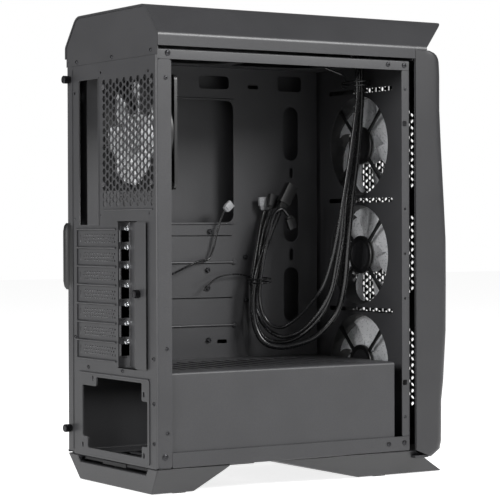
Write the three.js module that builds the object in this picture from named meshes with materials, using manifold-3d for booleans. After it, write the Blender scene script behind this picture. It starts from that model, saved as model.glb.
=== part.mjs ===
// Desktop computer tower: an ATX case with its window panel taken off and no
// electronics fitted, as a set of separate pieces.
//
// Millimetres. +Z is up, +Y is the rear, -X is the open window side.
// The origin is on the floor, in the middle of the footprint.

import * as THREE from 'three';
import { mergeVertices } from 'three/addons/utils/BufferGeometryUtils.js';
import { ConvexGeometry } from 'three/addons/geometries/ConvexGeometry.js';
import Module from 'manifold-3d';

const wasm = await Module();
wasm.setup();

// ---------------------------------------------------------------- sizes

// Overall
const width = 211;          // across the top cover and the front panel
const depth = 395.5;        // thumbscrew heads to the front edge of the top cover
const headOut = 9.5;        // thumbscrew heads stand this far behind the rear panel
const gap = 0.3;            // between pieces that touch
const sheet = 1;            // steel sheet of the chassis
const shell = 2.4;          // moulded plastic wall

// Standard interfaces of an ATX case
const psuWidth = 150;       // power supply body
const psuHeight = 86;
const psuHoleSpan = 138;    // its four screw holes
const slotPitch = 20.32;    // expansion slots
const slotCount = 7;
const slotOpening = 91.8;   // visible length of a slot cover
const slotScrewRise = 10.7; // screw above the middle of its slot
const ioHeight = 158.75;    // opening for the board's own sockets
const ioWidth = 44.45;
const boardRise = 4.2;      // far edge of that opening to the tray
const fanSize = 120;        // fan frame, square
const fanDepth = 25;
const fanHoleInset = 7.5;   // fan screws inside the frame's edge
const fanWall = 2.5;        // frame left beside its bore
const fanTipRoom = 2.5;     // blade tips inside the bore
const fanSeat = 2;          // front plate under a fan's edge
const topVentInset = 4;     // openings in the chassis top, inside a fan's edge

// Heights, from the floor up
const footHeight = 29;      // underside of the chassis
const psuLift = 6.3;        // chassis floor to power supply
const shroudRoom = 8.2;     // power supply to the top of its shroud
const slotsAboveShroud = 7;
const ioAboveSlots = 4.6;
const headroom = 23.8;      // above the socket opening, up to the chassis top
const coverRise = 48;       // top cover above the chassis top
const coverDrop = 32.5;     // its flat top above its bend
const coverStrip = 13;      // height of its upright sides
const seamDrop = 6.9;       // rear panel's upper seam below the chassis top

// Across the case
const glassRoom = 4.5;      // chassis face inside the window side
const cableRoom = 21.5;     // behind the motherboard tray
const sidePanelRoom = 4.5;  // side panel inside the width
const sidePanelPan = 4;     // depth of its folded edges
const lipWidth = 15;        // its lip on the rear panel
const psuInset = 21;        // power supply from the window side
const rearColumn = 18;      // flanges round the window
const frontColumn = 11.3;
const topRail = 11;
const bottomRail = 16.6;
const coverInset = 26.5;    // flat top inside the width

// Front to back
const chassisDepth = 326;   // rear panel to the front plate
const cheekBack = 331;      // rear panel to the front panel's rear edge
const cheekFront = 368;     // ... to its flat front
const cheekBulge = 10;      // how far its middle bulges forward
const frontPanelDrop = 8.5; // its lower edge below the chassis
const meshBack = 358;       // rear panel to the front mesh
const shroudDepth = 305.5;
const trayBack = 12;        // rear panel to the tray

// Slot screw pocket and its guard
const pocketDepth = 14.3;
const pocketLand = 3.5;     // between the slot openings and the pocket
const pocketWidth = 42;
const pocketEnd = 5.5;      // pocket beyond the slots, each end
const tabDepth = 11.6;
const guardFlange = 17;

// Small parts
const thumbHead = 8.7;      // knurled heads
const thumbShank = 3.2;
const bladeCount = 7;
const padSize = 16;
const buttonTravel = 1.2;
const filterThick = 3;
const filterLength = 138;

// ------------------------------------------------- places worked out from them

const fanHoleSpan = fanSize - 2 * fanHoleInset;
const fanBore = fanSize - 2 * fanWall;
const fanWindow = fanSize / 2 - fanSeat;
const rearY = depth / 2 - headOut;
const back = (distance) => rearY - distance;    // Y at a distance in front of the rear panel
const frontY = -depth / 2;
const left = -width / 2 + glassRoom;            // chassis faces
const right = width / 2 - sidePanelRoom - sidePanelPan;
const panelX = width / 2 - sidePanelRoom;       // outer face of the side panel
const lipX = panelX - lipWidth;
const trayX = right - cableRoom;
const floorZ = footHeight;
const psuZ = floorZ + psuLift;
const psuX = left + psuInset;
const shroudZ = psuZ + psuHeight + shroudRoom;
const slotsZ = shroudZ + slotsAboveShroud;
const slotsTop = slotsZ + slotCount * slotPitch;
const ioZ = slotsTop + ioAboveSlots;
const ioX = trayX - boardRise;
const topZ = ioZ + ioHeight + headroom;         // top of the chassis
const coverZ = topZ + coverRise;                // top of the case
const bendZ = coverZ - coverDrop;
const seamZ = topZ - seamDrop;
const slotsX = trayX + 2.8;                     // far end of the slot covers
const slotStart = slotsX - slotOpening;
const pocketX = slotStart - pocketLand;
const fanX = (left + right) / 2 - 1;
const frontFanY = back(chassisDepth + gap);
const fanPitch = 126.5;
const frontFanZ = (topZ + floorZ) / 2 + 0.5;    // middle fan
const rearFanZ = ioZ + ioHeight - 62.5;
const rearFanX = left + 62;

// ---------------------------------------------------------------- helpers

// A closed three.js geometry as a solid for joining and cutting. Its corners are put on a
// grid far finer than any size here, so that faces meant to share a plane share it exactly.
const grid = 1 / 1024;
function solid(geometry) {
  const plain = geometry.clone();
  plain.deleteAttribute('normal');
  plain.deleteAttribute('uv');
  const corners = plain.attributes.position.array;
  corners.forEach((value, i) => { corners[i] = Math.round(value / grid) * grid; });
  const merged = mergeVertices(plain, 1e-4);
  return new wasm.Manifold(new wasm.Mesh({
    numProp: 3,
    vertProperties: new Float32Array(merged.attributes.position.array),
    triVerts: new Uint32Array(merged.index.array),
  }));
}

// A solid back to a three.js geometry with flat faces.
function geometryOf(body) {
  const mesh = body.getMesh();
  const geometry = new THREE.BufferGeometry();
  geometry.setAttribute('position', new THREE.BufferAttribute(mesh.vertProperties, 3));
  geometry.setIndex(new THREE.BufferAttribute(mesh.triVerts, 1));
  const flat = geometry.toNonIndexed();
  flat.computeVertexNormals();
  return flat;
}

const join = (...bodies) => bodies.reduce((sum, body) => sum.add(body));
const cut = (body, ...tools) => tools.reduce((rest, tool) => rest.subtract(tool), body);

// Box between two corners; the two numbers of each axis may come in either order.
function box(x0, x1, y0, y1, z0, z1) {
  const geometry = new THREE.BoxGeometry(Math.abs(x1 - x0), Math.abs(y1 - y0), Math.abs(z1 - z0));
  geometry.translate((x0 + x1) / 2, (y0 + y1) / 2, (z0 + z1) / 2);
  return solid(geometry);
}

const AXES = {
  X: new THREE.Matrix4().makeBasis(
    new THREE.Vector3(0, 1, 0), new THREE.Vector3(0, 0, 1), new THREE.Vector3(1, 0, 0)),
  Y: new THREE.Matrix4().makeBasis(
    new THREE.Vector3(1, 0, 0), new THREE.Vector3(0, 0, 1), new THREE.Vector3(0, -1, 0)),
  Z: new THREE.Matrix4(),
};

// Extrude a shape along an axis, from low to high. The shape is drawn in (y, z) for X,
// (x, z) for Y and (x, y) for Z.
function plate(shape, axis, low, high, curveSegments = 6) {
  const geometry = new THREE.ExtrudeGeometry(shape, { depth: high - low, bevelEnabled: false, curveSegments });
  geometry.applyMatrix4(AXES[axis]);
  const start = axis === 'Y' ? high : low;
  geometry.translate(axis === 'X' ? start : 0, axis === 'Y' ? start : 0, axis === 'Z' ? start : 0);
  return solid(geometry);
}

// Rectangle with round corners, between two corners.
function panelShape(u0, u1, v0, v1, radius = 0) {
  if (radius === 0) return outline([[u0, v0], [u1, v0], [u1, v1], [u0, v1]]);
  const shape = new THREE.Shape();
  const r = radius;
  shape.moveTo(u0 + r, v0);
  shape.lineTo(u1 - r, v0);
  shape.absarc(u1 - r, v0 + r, r, -Math.PI / 2, 0);
  shape.lineTo(u1, v1 - r);
  shape.absarc(u1 - r, v1 - r, r, 0, Math.PI / 2);
  shape.lineTo(u0 + r, v1);
  shape.absarc(u0 + r, v1 - r, r, Math.PI / 2, Math.PI);
  shape.lineTo(u0, v0 + r);
  shape.absarc(u0 + r, v0 + r, r, Math.PI, 1.5 * Math.PI);
  return shape;
}

// Straight-sided outline through points.
const outline = (points) => new THREE.Shape(points.map(([u, v]) => new THREE.Vector2(u, v)));

// Outline with each corner rounded by its third number.
function roundedOutline(points) {
  const at = (i) => new THREE.Vector2(...points[(i + points.length) % points.length].slice(0, 2));
  const corners = [];
  points.forEach(([, , radius = 0], i) => {
    const here = at(i);
    if (radius === 0) {
      corners.push(here);
      return;
    }
    const before = at(i - 1).sub(here).normalize();
    const after = at(i + 1).sub(here).normalize();
    const half = Math.acos(THREE.MathUtils.clamp(before.dot(after), -1, 1)) / 2;
    const reach = radius / Math.tan(half);
    const centre = before.clone().add(after).normalize().multiplyScalar(radius / Math.sin(half)).add(here);
    const first = before.clone().multiplyScalar(reach).add(here).sub(centre);
    const last = after.clone().multiplyScalar(reach).add(here).sub(centre);
    const turn = Math.atan2(first.cross(last), first.dot(last));
    const steps = Math.max(2, Math.round(Math.abs(turn) / 0.3));
    for (let k = 0; k <= steps; k += 1) {
      corners.push(first.clone().rotateAround(new THREE.Vector2(), turn * k / steps).add(centre));
    }
  });
  return new THREE.Shape(corners);
}

// Round bar along an axis through (u, v), in the plate's drawing coordinates.
function bar(axis, u, v, radius, low, high, sides = 16) {
  const shape = new THREE.Shape();
  shape.absarc(u, v, radius, 0, 2 * Math.PI);
  return plate(shape, axis, low, high, sides);
}

const hull = (points) => solid(new ConvexGeometry(points.map((p) => new THREE.Vector3(...p))));

// ---------------------------------------------------------------- materials

const paint = (color, roughness, metalness = 0) =>
  new THREE.MeshStandardMaterial({ color, roughness, metalness });
const steel = paint(0x3c3c3e, 0.55, 0.2);        // powder-coated chassis
const coverPlastic = paint(0x58585a, 0.5);       // top cover, feet
const frontPlastic = paint(0x484849, 0.5);
const blackPlastic = paint(0x141415, 0.45);
const bladePlastic = paint(0xc9cccf, 0.35);
const bareSteel = paint(0xb8babd, 0.3, 0.9);     // screws
const rubber = paint(0x0f0f10, 0.9);
const netting = paint(0x18181a, 0.8);
const cable = paint(0x1a1a1c, 0.5);

const tower = new THREE.Group();

// Adds one named piece; a piece may be a solid or a three.js geometry.
function piece(name, body, material) {
  const geometry = body.isBufferGeometry ? body : geometryOf(body);
  const mesh = new THREE.Mesh(geometry, material);
  mesh.name = name;
  tower.add(mesh);
  return mesh;
}

// ---------------------------------------------------------------- chassis

// Centres of the slots, from the top one down.
const slotZ = (index) => slotsTop - (index + 0.5) * slotPitch;

// Six-sided holes in staggered rows, inside a rectangle of the rear panel.
function hexGrille(x0, x1, z0, z1, pitch, web) {
  const tools = [];
  const radius = (pitch - web) / Math.sqrt(3);
  const rowStep = pitch * Math.sqrt(3) / 2;
  const rows = Math.floor((z1 - z0 - 2 * radius) / rowStep) + 1;
  for (let row = 0; row < rows; row += 1) {
    const z = (z0 + z1) / 2 + (row - (rows - 1) / 2) * rowStep;
    const shift = row % 2 ? pitch / 2 : 0;
    for (let x = x0 + pitch / 2 + shift; x <= x1 - pitch / 2 + 0.01; x += pitch) {
      const shape = new THREE.Shape();
      for (let k = 0; k < 6; k += 1) {
        const angle = Math.PI / 6 + k * Math.PI / 3;
        const corner = [x + radius * Math.cos(angle), z + radius * Math.sin(angle)];
        if (k === 0) shape.moveTo(...corner);
        else shape.lineTo(...corner);
      }
      tools.push(plate(shape, 'Y', back(sheet + 1), back(-1)));
    }
  }
  return tools;
}

// The opening behind the power supply, with a notch round each screw hole.
const psuHoles = [
  [psuX + 6, psuZ + 6], [psuX + 6 + psuHoleSpan, psuZ + 6],
  [psuX + 6, psuZ + 70], [psuX + 6 + 114, psuZ + 80],
];
function psuOpening() {
  const low = psuX - 1.5;
  const high = psuX + psuWidth - 5.5;
  const base = psuZ + 3.5;
  const top = psuZ + psuHeight - 4;
  const notch = 12;
  return outline([
    [low + notch, base], [high - notch, base], [high - notch, base + notch], [high, base + notch],
    [high, psuHoles[3][1] - notch + 4], [psuHoles[3][0] - notch + 4, psuHoles[3][1] - notch + 4],
    [psuHoles[3][0] - notch + 4, top], [low + notch, top],
    [low + notch, psuHoles[2][1] - 7], [low, psuHoles[2][1] - 7], [low, base + notch],
    [low + notch, base + notch],
  ]);
}

// Rear panel: one sheet with its window-side flange, a step under the side panel's lip
// and the pocket that the slot screws sit in.
function rearPanel() {
  const high = back(0);
  const wallFront = back(pocketDepth);
  const pocketLow = slotsZ - pocketEnd;
  const pocketHigh = slotsTop + pocketEnd + 1.7;
  const face = plate(panelShape(left, lipX - gap, floorZ + gap, seamZ), 'Y', high - sheet, high);
  const flange = box(left, left + sheet, back(rearColumn), high, floorZ + sheet + gap, topZ - topRail - gap);
  const step = join(
    box(lipX - gap - sheet, lipX - gap, back(3), high, floorZ + gap, seamZ),
    box(lipX - gap - sheet, right, back(3), back(2), floorZ + gap, seamZ));
  const pocketWall = box(pocketX, pocketX + sheet, wallFront, high, pocketLow, pocketHigh);
  const pocketEnds = [
    box(pocketX - pocketWidth, pocketX + sheet, wallFront, high, pocketLow - sheet, pocketLow),
    box(pocketX - pocketWidth, pocketX + sheet, wallFront, high, pocketHigh, pocketHigh + sheet),
  ];
  const slots = [];
  for (let i = 0; i < slotCount; i += 1) {
    const half = (slotPitch - 2) / 2;
    slots.push(box(slotStart, slotsX, back(sheet + 1), back(-1), slotZ(i) - half, slotZ(i) + half));
    slots.push(box(pocketX - 1, pocketX + sheet + 1, back(sheet + 1.7), back(sheet), slotZ(i) - half, slotZ(i) + half));
  }
  const holes = psuHoles.map(([x, z]) => bar('Y', x, z, 2, back(sheet + 1), back(-1), 3));
  return cut(
    join(face, flange, step),
    box(pocketX - pocketWidth, pocketX, back(sheet + 1), back(-1), pocketLow, pocketHigh),
    box(ioX - ioWidth, ioX, back(sheet + 1), back(-1), ioZ, ioZ + ioHeight),
    plate(psuOpening(), 'Y', back(sheet + 1), back(-1)),
    ...hexGrille(left + 7, ioX - ioWidth - 11, ioZ + 19.5, ioZ + ioHeight - 7, 15, 3),
    ...holes,
  ).add(join(pocketWall, ...pocketEnds)).subtract(join(...slots));
}
piece('rear_panel', rearPanel(), steel);

// Chassis floor with the intake over the dust filter.
const intakeX0 = left + 24;
const intakeX1 = right - 24;
function chassisFloor() {
  const base = box(left, right, back(chassisDepth - sheet - gap), back(3 + gap), floorZ, floorZ + sheet);
  const rail = box(left, left + sheet, back(chassisDepth - sheet - gap), back(rearColumn + gap), floorZ,
    floorZ + bottomRail);
  const slots = [];
  for (let y = 24; y < filterLength - 12; y += 18) {
    slots.push(box(intakeX0, (intakeX0 + intakeX1) / 2 - 4, back(y + 11), back(y), floorZ - 1, floorZ + 2));
    slots.push(box((intakeX0 + intakeX1) / 2 + 4, intakeX1, back(y + 11), back(y), floorZ - 1, floorZ + 2));
  }
  return cut(join(base, rail), ...slots);
}
piece('chassis_floor', chassisFloor(), steel);

// Chassis top with two fan openings and the rail over the window.
function chassisTop() {
  const y0 = back(chassisDepth - sheet - gap);
  const base = box(left, right, y0, back(sheet + 1), topZ - sheet, topZ);
  const rail = box(left, left + sheet, y0, back(sheet + gap), topZ - topRail, topZ);
  const openings = [0, 1].map((i) => {
    const y = 45 + i * (fanSize + 12);
    const half = fanSize / 2 - topVentInset;
    return plate(panelShape(fanX - half, fanX + half, back(y + 2 * half), back(y), 20), 'Z', topZ - 2, topZ + 1, 2);
  });
  const leadHole = plate(panelShape(fanX - 42, fanX + 12, back(324), back(294), 4), 'Z', topZ - 2, topZ + 1, 2);
  return cut(join(base, rail), ...openings, leadHole);
}
piece('chassis_top', chassisTop(), steel);

// Front plate: three fan openings, a gap above each, and a column beside the window.
const frontFans = [1, 0, -1].map((step) => frontFanZ + step * fanPitch);
function chassisFront() {
  const y1 = back(chassisDepth - sheet);
  const low = floorZ + sheet + gap;
  const high = topZ - sheet - gap;
  const face = box(left + sheet, right, back(chassisDepth), y1, low, high);
  const column = box(left, left + sheet, back(chassisDepth), back(chassisDepth - frontColumn),
    floorZ + bottomRail + gap, topZ - topRail - gap);
  const openings = frontFans.map((z) => plate(panelShape(fanX - fanWindow, fanX + fanWindow,
    z - fanWindow, z + fanWindow, 30), 'Y', back(chassisDepth + 1), y1 + 1, 3));
  const gaps = frontFans.map((z) => box(fanX - 68, fanX + 62, back(chassisDepth + 1), y1 + 1,
    z + fanSize / 2 - 1, z + fanPitch - fanSize / 2 + 1));
  return cut(join(face, column), ...openings, ...gaps);
}
piece('chassis_front', chassisFront(), steel);

// Motherboard tray, stamped and pierced for cables.
const trayFront = back(shroudDepth + 14);
const board = { depth: 244, holeY: [33.5, 164, 216], holeZ: [-24, 131] };
function motherboardTray() {
  const y = (distance) => back(distance);
  const shape = panelShape(trayFront, y(trayBack), shroudZ - sheet, topZ - sheet - gap);
  const pierce = (d0, d1, z0, z1, radius) => {
    shape.holes.push(panelShape(y(d1), y(d0), z0, z1, radius));
  };
  pierce(58, 203, topZ - 180, topZ - 39, 9);             // behind the processor
  pierce(156, 197, topZ - 26, topZ - 11, 5);             // power lead, top
  pierce(264, 297, topZ - 26, topZ - 8, 4);
  pierce(272, 293, topZ - 107, topZ - 44, 10);           // three cable slots
  pierce(272, 293, topZ - 203, topZ - 142, 10);
  pierce(272, 293, topZ - 297, topZ - 233, 10);
  pierce(280.5, 285.5, topZ - 128, topZ - 116, 2);
  pierce(280.5, 285.5, topZ - 225, topZ - 211, 2);
  pierce(223, 237, topZ - 24.5, topZ - 20, 1.5);         // tie slots
  pierce(180, 193, topZ - 320, topZ - 315.5, 1.5);
  const base = plate(shape, 'X', trayX, trayX + sheet, 3);
  const rear = box(trayX, right, y(trayBack), y(trayBack + sheet), shroudZ - sheet, topZ - sheet - gap);
  const ribs = [[topZ - 227, 3], [topZ - 299, 3]].map(([z, tall]) =>
    box(trayX - 2, trayX + 0.5, y(203), y(trayBack + 6), z - tall / 2, z + tall / 2));
  const standoffs = [];
  [[170, 275.4], [167, 231], [167, 210.3], [218.5, 245.5], [219.4, 195.3], [168, 150.3]].forEach(([d, z]) => {
    standoffs.push(bar('X', y(d), z, 2.6, trayX - 3.4, trayX + 0.5, 2));
  });
  return join(base, rear, ...ribs, ...standoffs);
}
piece('motherboard_tray', motherboardTray(), steel);

// Shroud over the power supply and the drive cage.
function psuShroud() {
  const x0 = left + sheet + 1.5;
  const x1 = right - gap;
  const y0 = back(shroudDepth);
  const y1 = back(pocketDepth + sheet + gap + 1);
  const low = floorZ + sheet + gap;
  const topLow = shroudZ - sheet;
  const trayGap = box(trayX - gap, right + 1, trayFront - gap, back(trayBack - 2), topLow - gap, shroudZ + 1);
  const base = box(x0, x1, y0, y1, topLow, shroudZ).subtract(trayGap);
  const side = box(x0, x0 + sheet, y0, y1, low, shroudZ);
  const nose = box(x0, trayX - gap, y0, y0 + sheet, shroudZ - 30, shroudZ);
  const vents = [];
  for (let d = 30; d < 260; d += 16) {
    vents.push(box(left + 30, fanX + 38, back(d + 8), back(d), topLow - 1, shroudZ + 1));
  }
  return cut(join(base, side, nose), ...vents);
}
piece('psu_shroud', psuShroud(), steel);

// Drive cage under the shroud, in front of the power supply: two bays, one above the other.
const bayHeight = 29.5;
const bayWidth = 104;
function driveCage() {
  const x0 = left + 22;
  const x1 = x0 + bayWidth + 2 * sheet;
  const y0 = back(298);
  const y1 = back(208);
  const low = floorZ + sheet + gap;
  const middle = low + sheet + bayHeight;
  const high = middle + sheet + bayHeight + sheet;
  const outer = box(x0, x1, y0, y1, low, high);
  const inner = box(x0 + sheet, x1 - sheet, y0 - 1, y1 + 1, low + sheet, high - sheet);
  const ledges = [[x0 + 0.5, x0 + 7], [x1 - 7, x1 - 0.5]].map(([a, b]) =>
    box(a, b, y0, y1, middle, middle + sheet));
  return join(cut(outer, inner), ...ledges);
}
piece('drive_cage', driveCage(), steel);

// ---------------------------------------------------------------- slot covers

const tabX = pocketX - gap - sheet;    // face that the screw heads bear on
for (let i = 0; i < slotCount; i += 1) {
  const half = (slotPitch - 2) / 2 - gap;
  const y1 = back(sheet + gap);
  const strip = box(pocketX + sheet + gap, slotsX + 3.5, y1 - sheet, y1, slotZ(i) - half, slotZ(i) + half);
  const neck = box(tabX, pocketX + sheet + 1, y1 - sheet, y1, slotZ(i) - half + 5, slotZ(i) + half);
  const tab = box(tabX, tabX + sheet, y1 - tabDepth, y1, slotZ(i) - half + 4, slotZ(i) + half + 4.6);
  piece(`slot_cover_${i + 1}`, join(strip, neck, tab), steel);
  const screwY = back(9.3);
  const screwZ = slotZ(i) + slotScrewRise;
  const head = bar('X', screwY, screwZ, 3, tabX - gap - 2.2, tabX - gap, 3);
  piece(`slot_screw_${i + 1}`, head, bareSteel);
}

// Guard: flat flange on the rear panel, then a ramp down to the slot tabs.
function slotGuard() {
  const edge = pocketX - pocketWidth;
  const low = slotsZ - pocketEnd + gap;
  const high = slotsTop + pocketEnd + 1.7 - gap;
  const foot = pocketX - 6;
  const profile = outline([
    [edge - guardFlange, back(-gap)], [edge, back(-gap)], [foot, back(pocketDepth - 2)],
    [foot, back(pocketDepth - 3)], [edge + 0.5, back(-gap - sheet)], [edge - guardFlange, back(-gap - sheet)],
  ]);
  const hole = bar('Y', edge - 8, (low + high) / 2, thumbShank / 2 + gap, back(3), back(-4), 3);
  return plate(profile, 'Z', low, high).subtract(hole);
}
piece('slot_guard', slotGuard(), steel);

// Knurled thumbscrew along Y, head outwards, from the face it bears on.
function thumbscrew(x, z, face) {
  const head = new THREE.Shape();
  for (let k = 0; k < 24; k += 1) {
    const radius = k % 2 ? thumbHead / 2 : thumbHead / 2 - 0.35;
    const angle = k * Math.PI / 12;
    const corner = [x + radius * Math.cos(angle), z + radius * Math.sin(angle)];
    if (k === 0) head.moveTo(...corner);
    else head.lineTo(...corner);
  }
  return plate(head, 'Y', face + gap, back(-headOut));
}
const guardScrewX = pocketX - pocketWidth - 8;
const guardScrewZ = (slotsZ + slotsTop) / 2 + 3;
piece('guard_thumbscrew', thumbscrew(guardScrewX, guardScrewZ, back(-gap - sheet)), blackPlastic);

// ---------------------------------------------------------------- side panel

// Steel side panel: a shallow pan with a lip round the rear and a moulded finger pull.
const gripLow = slotsZ + 74;
const gripHigh = gripLow + 76;
function sidePanel() {
  const low = floorZ + 1;
  const high = topZ - 1;
  const y0 = back(cheekBack - 2);
  const face = box(panelX - sheet, panelX, y0, back(0), low, high);
  const lip = box(lipX, panelX, back(sheet), back(0), low, seamZ);
  const hems = [low, high - sheet].map((z) => box(right + gap, panelX, y0, back(0), z, z + sheet));
  const tongue = box(right + gap, panelX, y0, y0 + sheet, low, high);
  const pull = plate(outline([
    [back(6), gripLow + 3], [back(-3), gripLow + 3], [back(-3.4), gripLow + 8],
    [back(-3.4), gripHigh - 8], [back(-3), gripHigh - 3], [back(6), gripHigh - 3],
  ]), 'X', lipX + 1, panelX + 2.2);
  const pullInside = box(lipX, panelX - sheet, back(9), back(-1.6), gripLow + 6, gripHigh - 6);
  return cut(join(face, lip, ...hems, tongue, pull), pullInside,
    box(lipX - 1, panelX - sheet, back(9), back(sheet), gripLow, gripHigh));
}
piece('right_side_panel', sidePanel(), steel);
const panelScrewX = lipX + 6.5;
piece('panel_thumbscrew_upper', thumbscrew(panelScrewX, topZ - 21, back(0)), blackPlastic);
piece('panel_thumbscrew_lower', thumbscrew(panelScrewX, floorZ + 28, back(0)), blackPlastic);

// ---------------------------------------------------------------- top cover

// Half-profile of the cover, inset by a wall thickness where asked.
function coverProfile(inset) {
  const half = width / 2 - inset;
  const flat = width / 2 - coverInset - inset * 0.55;
  const top = coverZ - inset;
  const base = topZ + 2.5 - (inset > 0 ? 5 : 0);
  return [
    [-half, base], [half, base], [half, bendZ - inset * 0.3, 7], [flat, top, 18],
    [-flat, top, 18], [-half, bendZ - inset * 0.3, 7],
  ];
}
// The front end is cut back from the top edge down to the bend.
const coverCut = (margin) => plate(outline([
  [frontY - 5, coverZ + 5], [frontY - 5, topZ - 20], [back(cheekBack - gap), topZ - 20],
  [back(cheekBack - gap), bendZ - 3], [back(347) + margin, bendZ - 3], [back(347) + margin, bendZ],
  [frontY + margin, coverZ - 1], [frontY + margin, coverZ + 5],
]), 'X', -width, width);
const socketX = { usb3: -30, usb2: -8, mic: 12, phones: 26, power: 62, reset: 44 };
const socketY = back(352);
function topCover() {
  const outer = plate(roundedOutline(coverProfile(0)), 'Y', frontY, back(0)).subtract(coverCut(0));
  const inner = plate(roundedOutline(coverProfile(shell)), 'Y', frontY - 5, back(-5));
  const grille = plate(panelShape(fanX - 62, fanX + 62, back(305), back(28), 8), 'Z', coverZ - 8, coverZ + 5, 2);
  const stripSockets = box(-44, 74, socketY - 9, socketY + 9, coverZ - 8, coverZ + 5);
  return cut(outer, inner, grille, stripSockets);
}
piece('top_cover', topCover(), coverPlastic);

// Plate that closes the rear end of the cover.
function rearUpperPlate() {
  const inset = shell + gap;
  const profile = coverProfile(inset);
  profile[0][1] = seamZ + gap;
  profile[1][1] = seamZ + gap;
  const trimLeft = box(-width, left + sheet + gap, back(3), back(-1), seamZ - 5, topZ + 2.5);
  const trimRight = box(right, width, back(3), back(-1), seamZ - 5, topZ + 2.5);
  return plate(roundedOutline(profile), 'Y', back(sheet + 0.6), back(0.6)).subtract(trimLeft).subtract(trimRight);
}
piece('rear_upper_plate', rearUpperPlate(), steel);

// Dust net in the cover's top opening.
function topFilter() {
  const net = plate(panelShape(fanX - 62 + gap, fanX + 62 - gap, back(305 - gap), back(28 + gap), 8), 'Z',
    coverZ - 2, coverZ - 0.8, 2);
  const holes = [];
  for (let d = 36; d < 290; d += 22) {
    holes.push(box(fanX - 54, fanX - 3, back(d + 16), back(d), coverZ - 5, coverZ + 2));
    holes.push(box(fanX + 3, fanX + 54, back(d + 16), back(d), coverZ - 5, coverZ + 2));
  }
  return cut(net, ...holes);
}
piece('top_filter', topFilter(), netting);

// Socket strip in the cover, with its two buttons.
function socketStrip() {
  const y0 = socketY - 9 + gap;
  const y1 = socketY + 9 - gap;
  const body = box(-44 + gap, 74 - gap, y0, y1, coverZ - 16, coverZ - 0.2);
  const tools = [
    box(socketX.usb3 - 6.7, socketX.usb3 + 6.7, socketY - 3, socketY + 3, coverZ - 12, coverZ + 1),
    box(socketX.usb2 - 6.7, socketX.usb2 + 6.7, socketY - 3, socketY + 3, coverZ - 12, coverZ + 1),
    bar('Z', socketX.mic, socketY, 2, coverZ - 12, coverZ + 1, 4),
    bar('Z', socketX.phones, socketY, 2, coverZ - 12, coverZ + 1, 4),
    bar('Z', socketX.power, socketY, 6.5 + gap, coverZ - 8, coverZ + 1, 6),
    bar('Z', socketX.reset, socketY, 3 + gap, coverZ - 8, coverZ + 1, 4),
  ];
  return cut(body, ...tools);
}
piece('socket_strip', socketStrip(), blackPlastic);
const buttonBase = coverZ - 8 + buttonTravel + gap;
piece('power_button', bar('Z', socketX.power, socketY, 6.5, buttonBase, coverZ - 0.1, 6), frontPlastic);
piece('reset_button', bar('Z', socketX.reset, socketY, 3, buttonBase, coverZ - 0.1, 4), frontPlastic);

// ---------------------------------------------------------------- front panel

// Side view of the front panel, moved in by a wall thickness where asked.
function frontOutline(inset) {
  const y = (distance) => back(distance - inset);
  const rear = back(cheekBack) + (inset > 0 ? 5 : 0);
  const low = floorZ - frontPanelDrop + inset;
  const high = bendZ - 3 - gap - inset;
  const bulge = new THREE.SplineCurve([
    new THREE.Vector2(y(cheekFront), 420), new THREE.Vector2(y(cheekFront + 6.4), 310),
    new THREE.Vector2(y(cheekFront + cheekBulge), 232), new THREE.Vector2(y(cheekFront + 9), 160),
    new THREE.Vector2(y(cheekFront + 2.4), 84),
  ]).getPoints(10).map((p) => [p.x, p.y]);
  return roundedOutline([
    [rear, high], [y(cheekFront - 0.5), high, 12 - inset], ...bulge,
    [y(cheekFront + 1.5), low + 16, 8], [y(cheekFront - 14), low, 3],
    [rear, low + 9.3],
  ]);
}
// Plan view: square at the rear, round at the front corners.
function frontPlan(inset) {
  const half = width / 2 - inset;
  const front = back(cheekFront + cheekBulge + 4);
  return roundedOutline([
    [-half, back(cheekBack) + 10], [-half, back(cheekFront + cheekBulge - 5.5 - inset), 14],
    [-half + 26, front - 1], [half - 26, front - 1],
    [half, back(cheekFront + cheekBulge - 5.5 - inset), 14], [half, back(cheekBack) + 10],
  ]);
}
const meshHalf = 66;
const meshLow = floorZ + 29;
const meshHigh = topZ - 16;
function frontPanel() {
  const outer = plate(frontOutline(0), 'X', -width / 2, width / 2)
    .intersect(plate(frontPlan(0), 'Z', 0, coverZ));
  const inner = plate(frontOutline(shell), 'X', -width / 2 + shell, width / 2 - shell)
    .intersect(plate(frontPlan(shell), 'Z', 0, coverZ));
  const opening = plate(panelShape(-meshHalf, meshHalf, meshLow, meshHigh, 12), 'Y', frontY - 5, back(350), 3);
  return cut(outer, inner, opening);
}
piece('front_panel', frontPanel(), frontPlastic);

// Perforated insert behind the opening of the front panel, in three fields.
function frontMesh() {
  const y1 = back(meshBack);
  const net = box(-meshHalf - 6, meshHalf + 6, y1 - 2, y1, meshLow - 8, meshHigh + 8);
  const holes = [];
  frontFans.forEach((z) => {
    for (let row = -2; row <= 2; row += 1) {
      for (let column = -3; column <= 3; column += 1) {
        const x = column * 18;
        const middle = z + row * 21;
        holes.push(box(x - 6.5, x + 6.5, y1 - 5, y1 + 3, middle - 8, middle + 8));
      }
    }
  });
  return cut(net, ...holes);
}
piece('front_mesh', frontMesh(), blackPlastic);

// ---------------------------------------------------------------- fans

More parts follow.
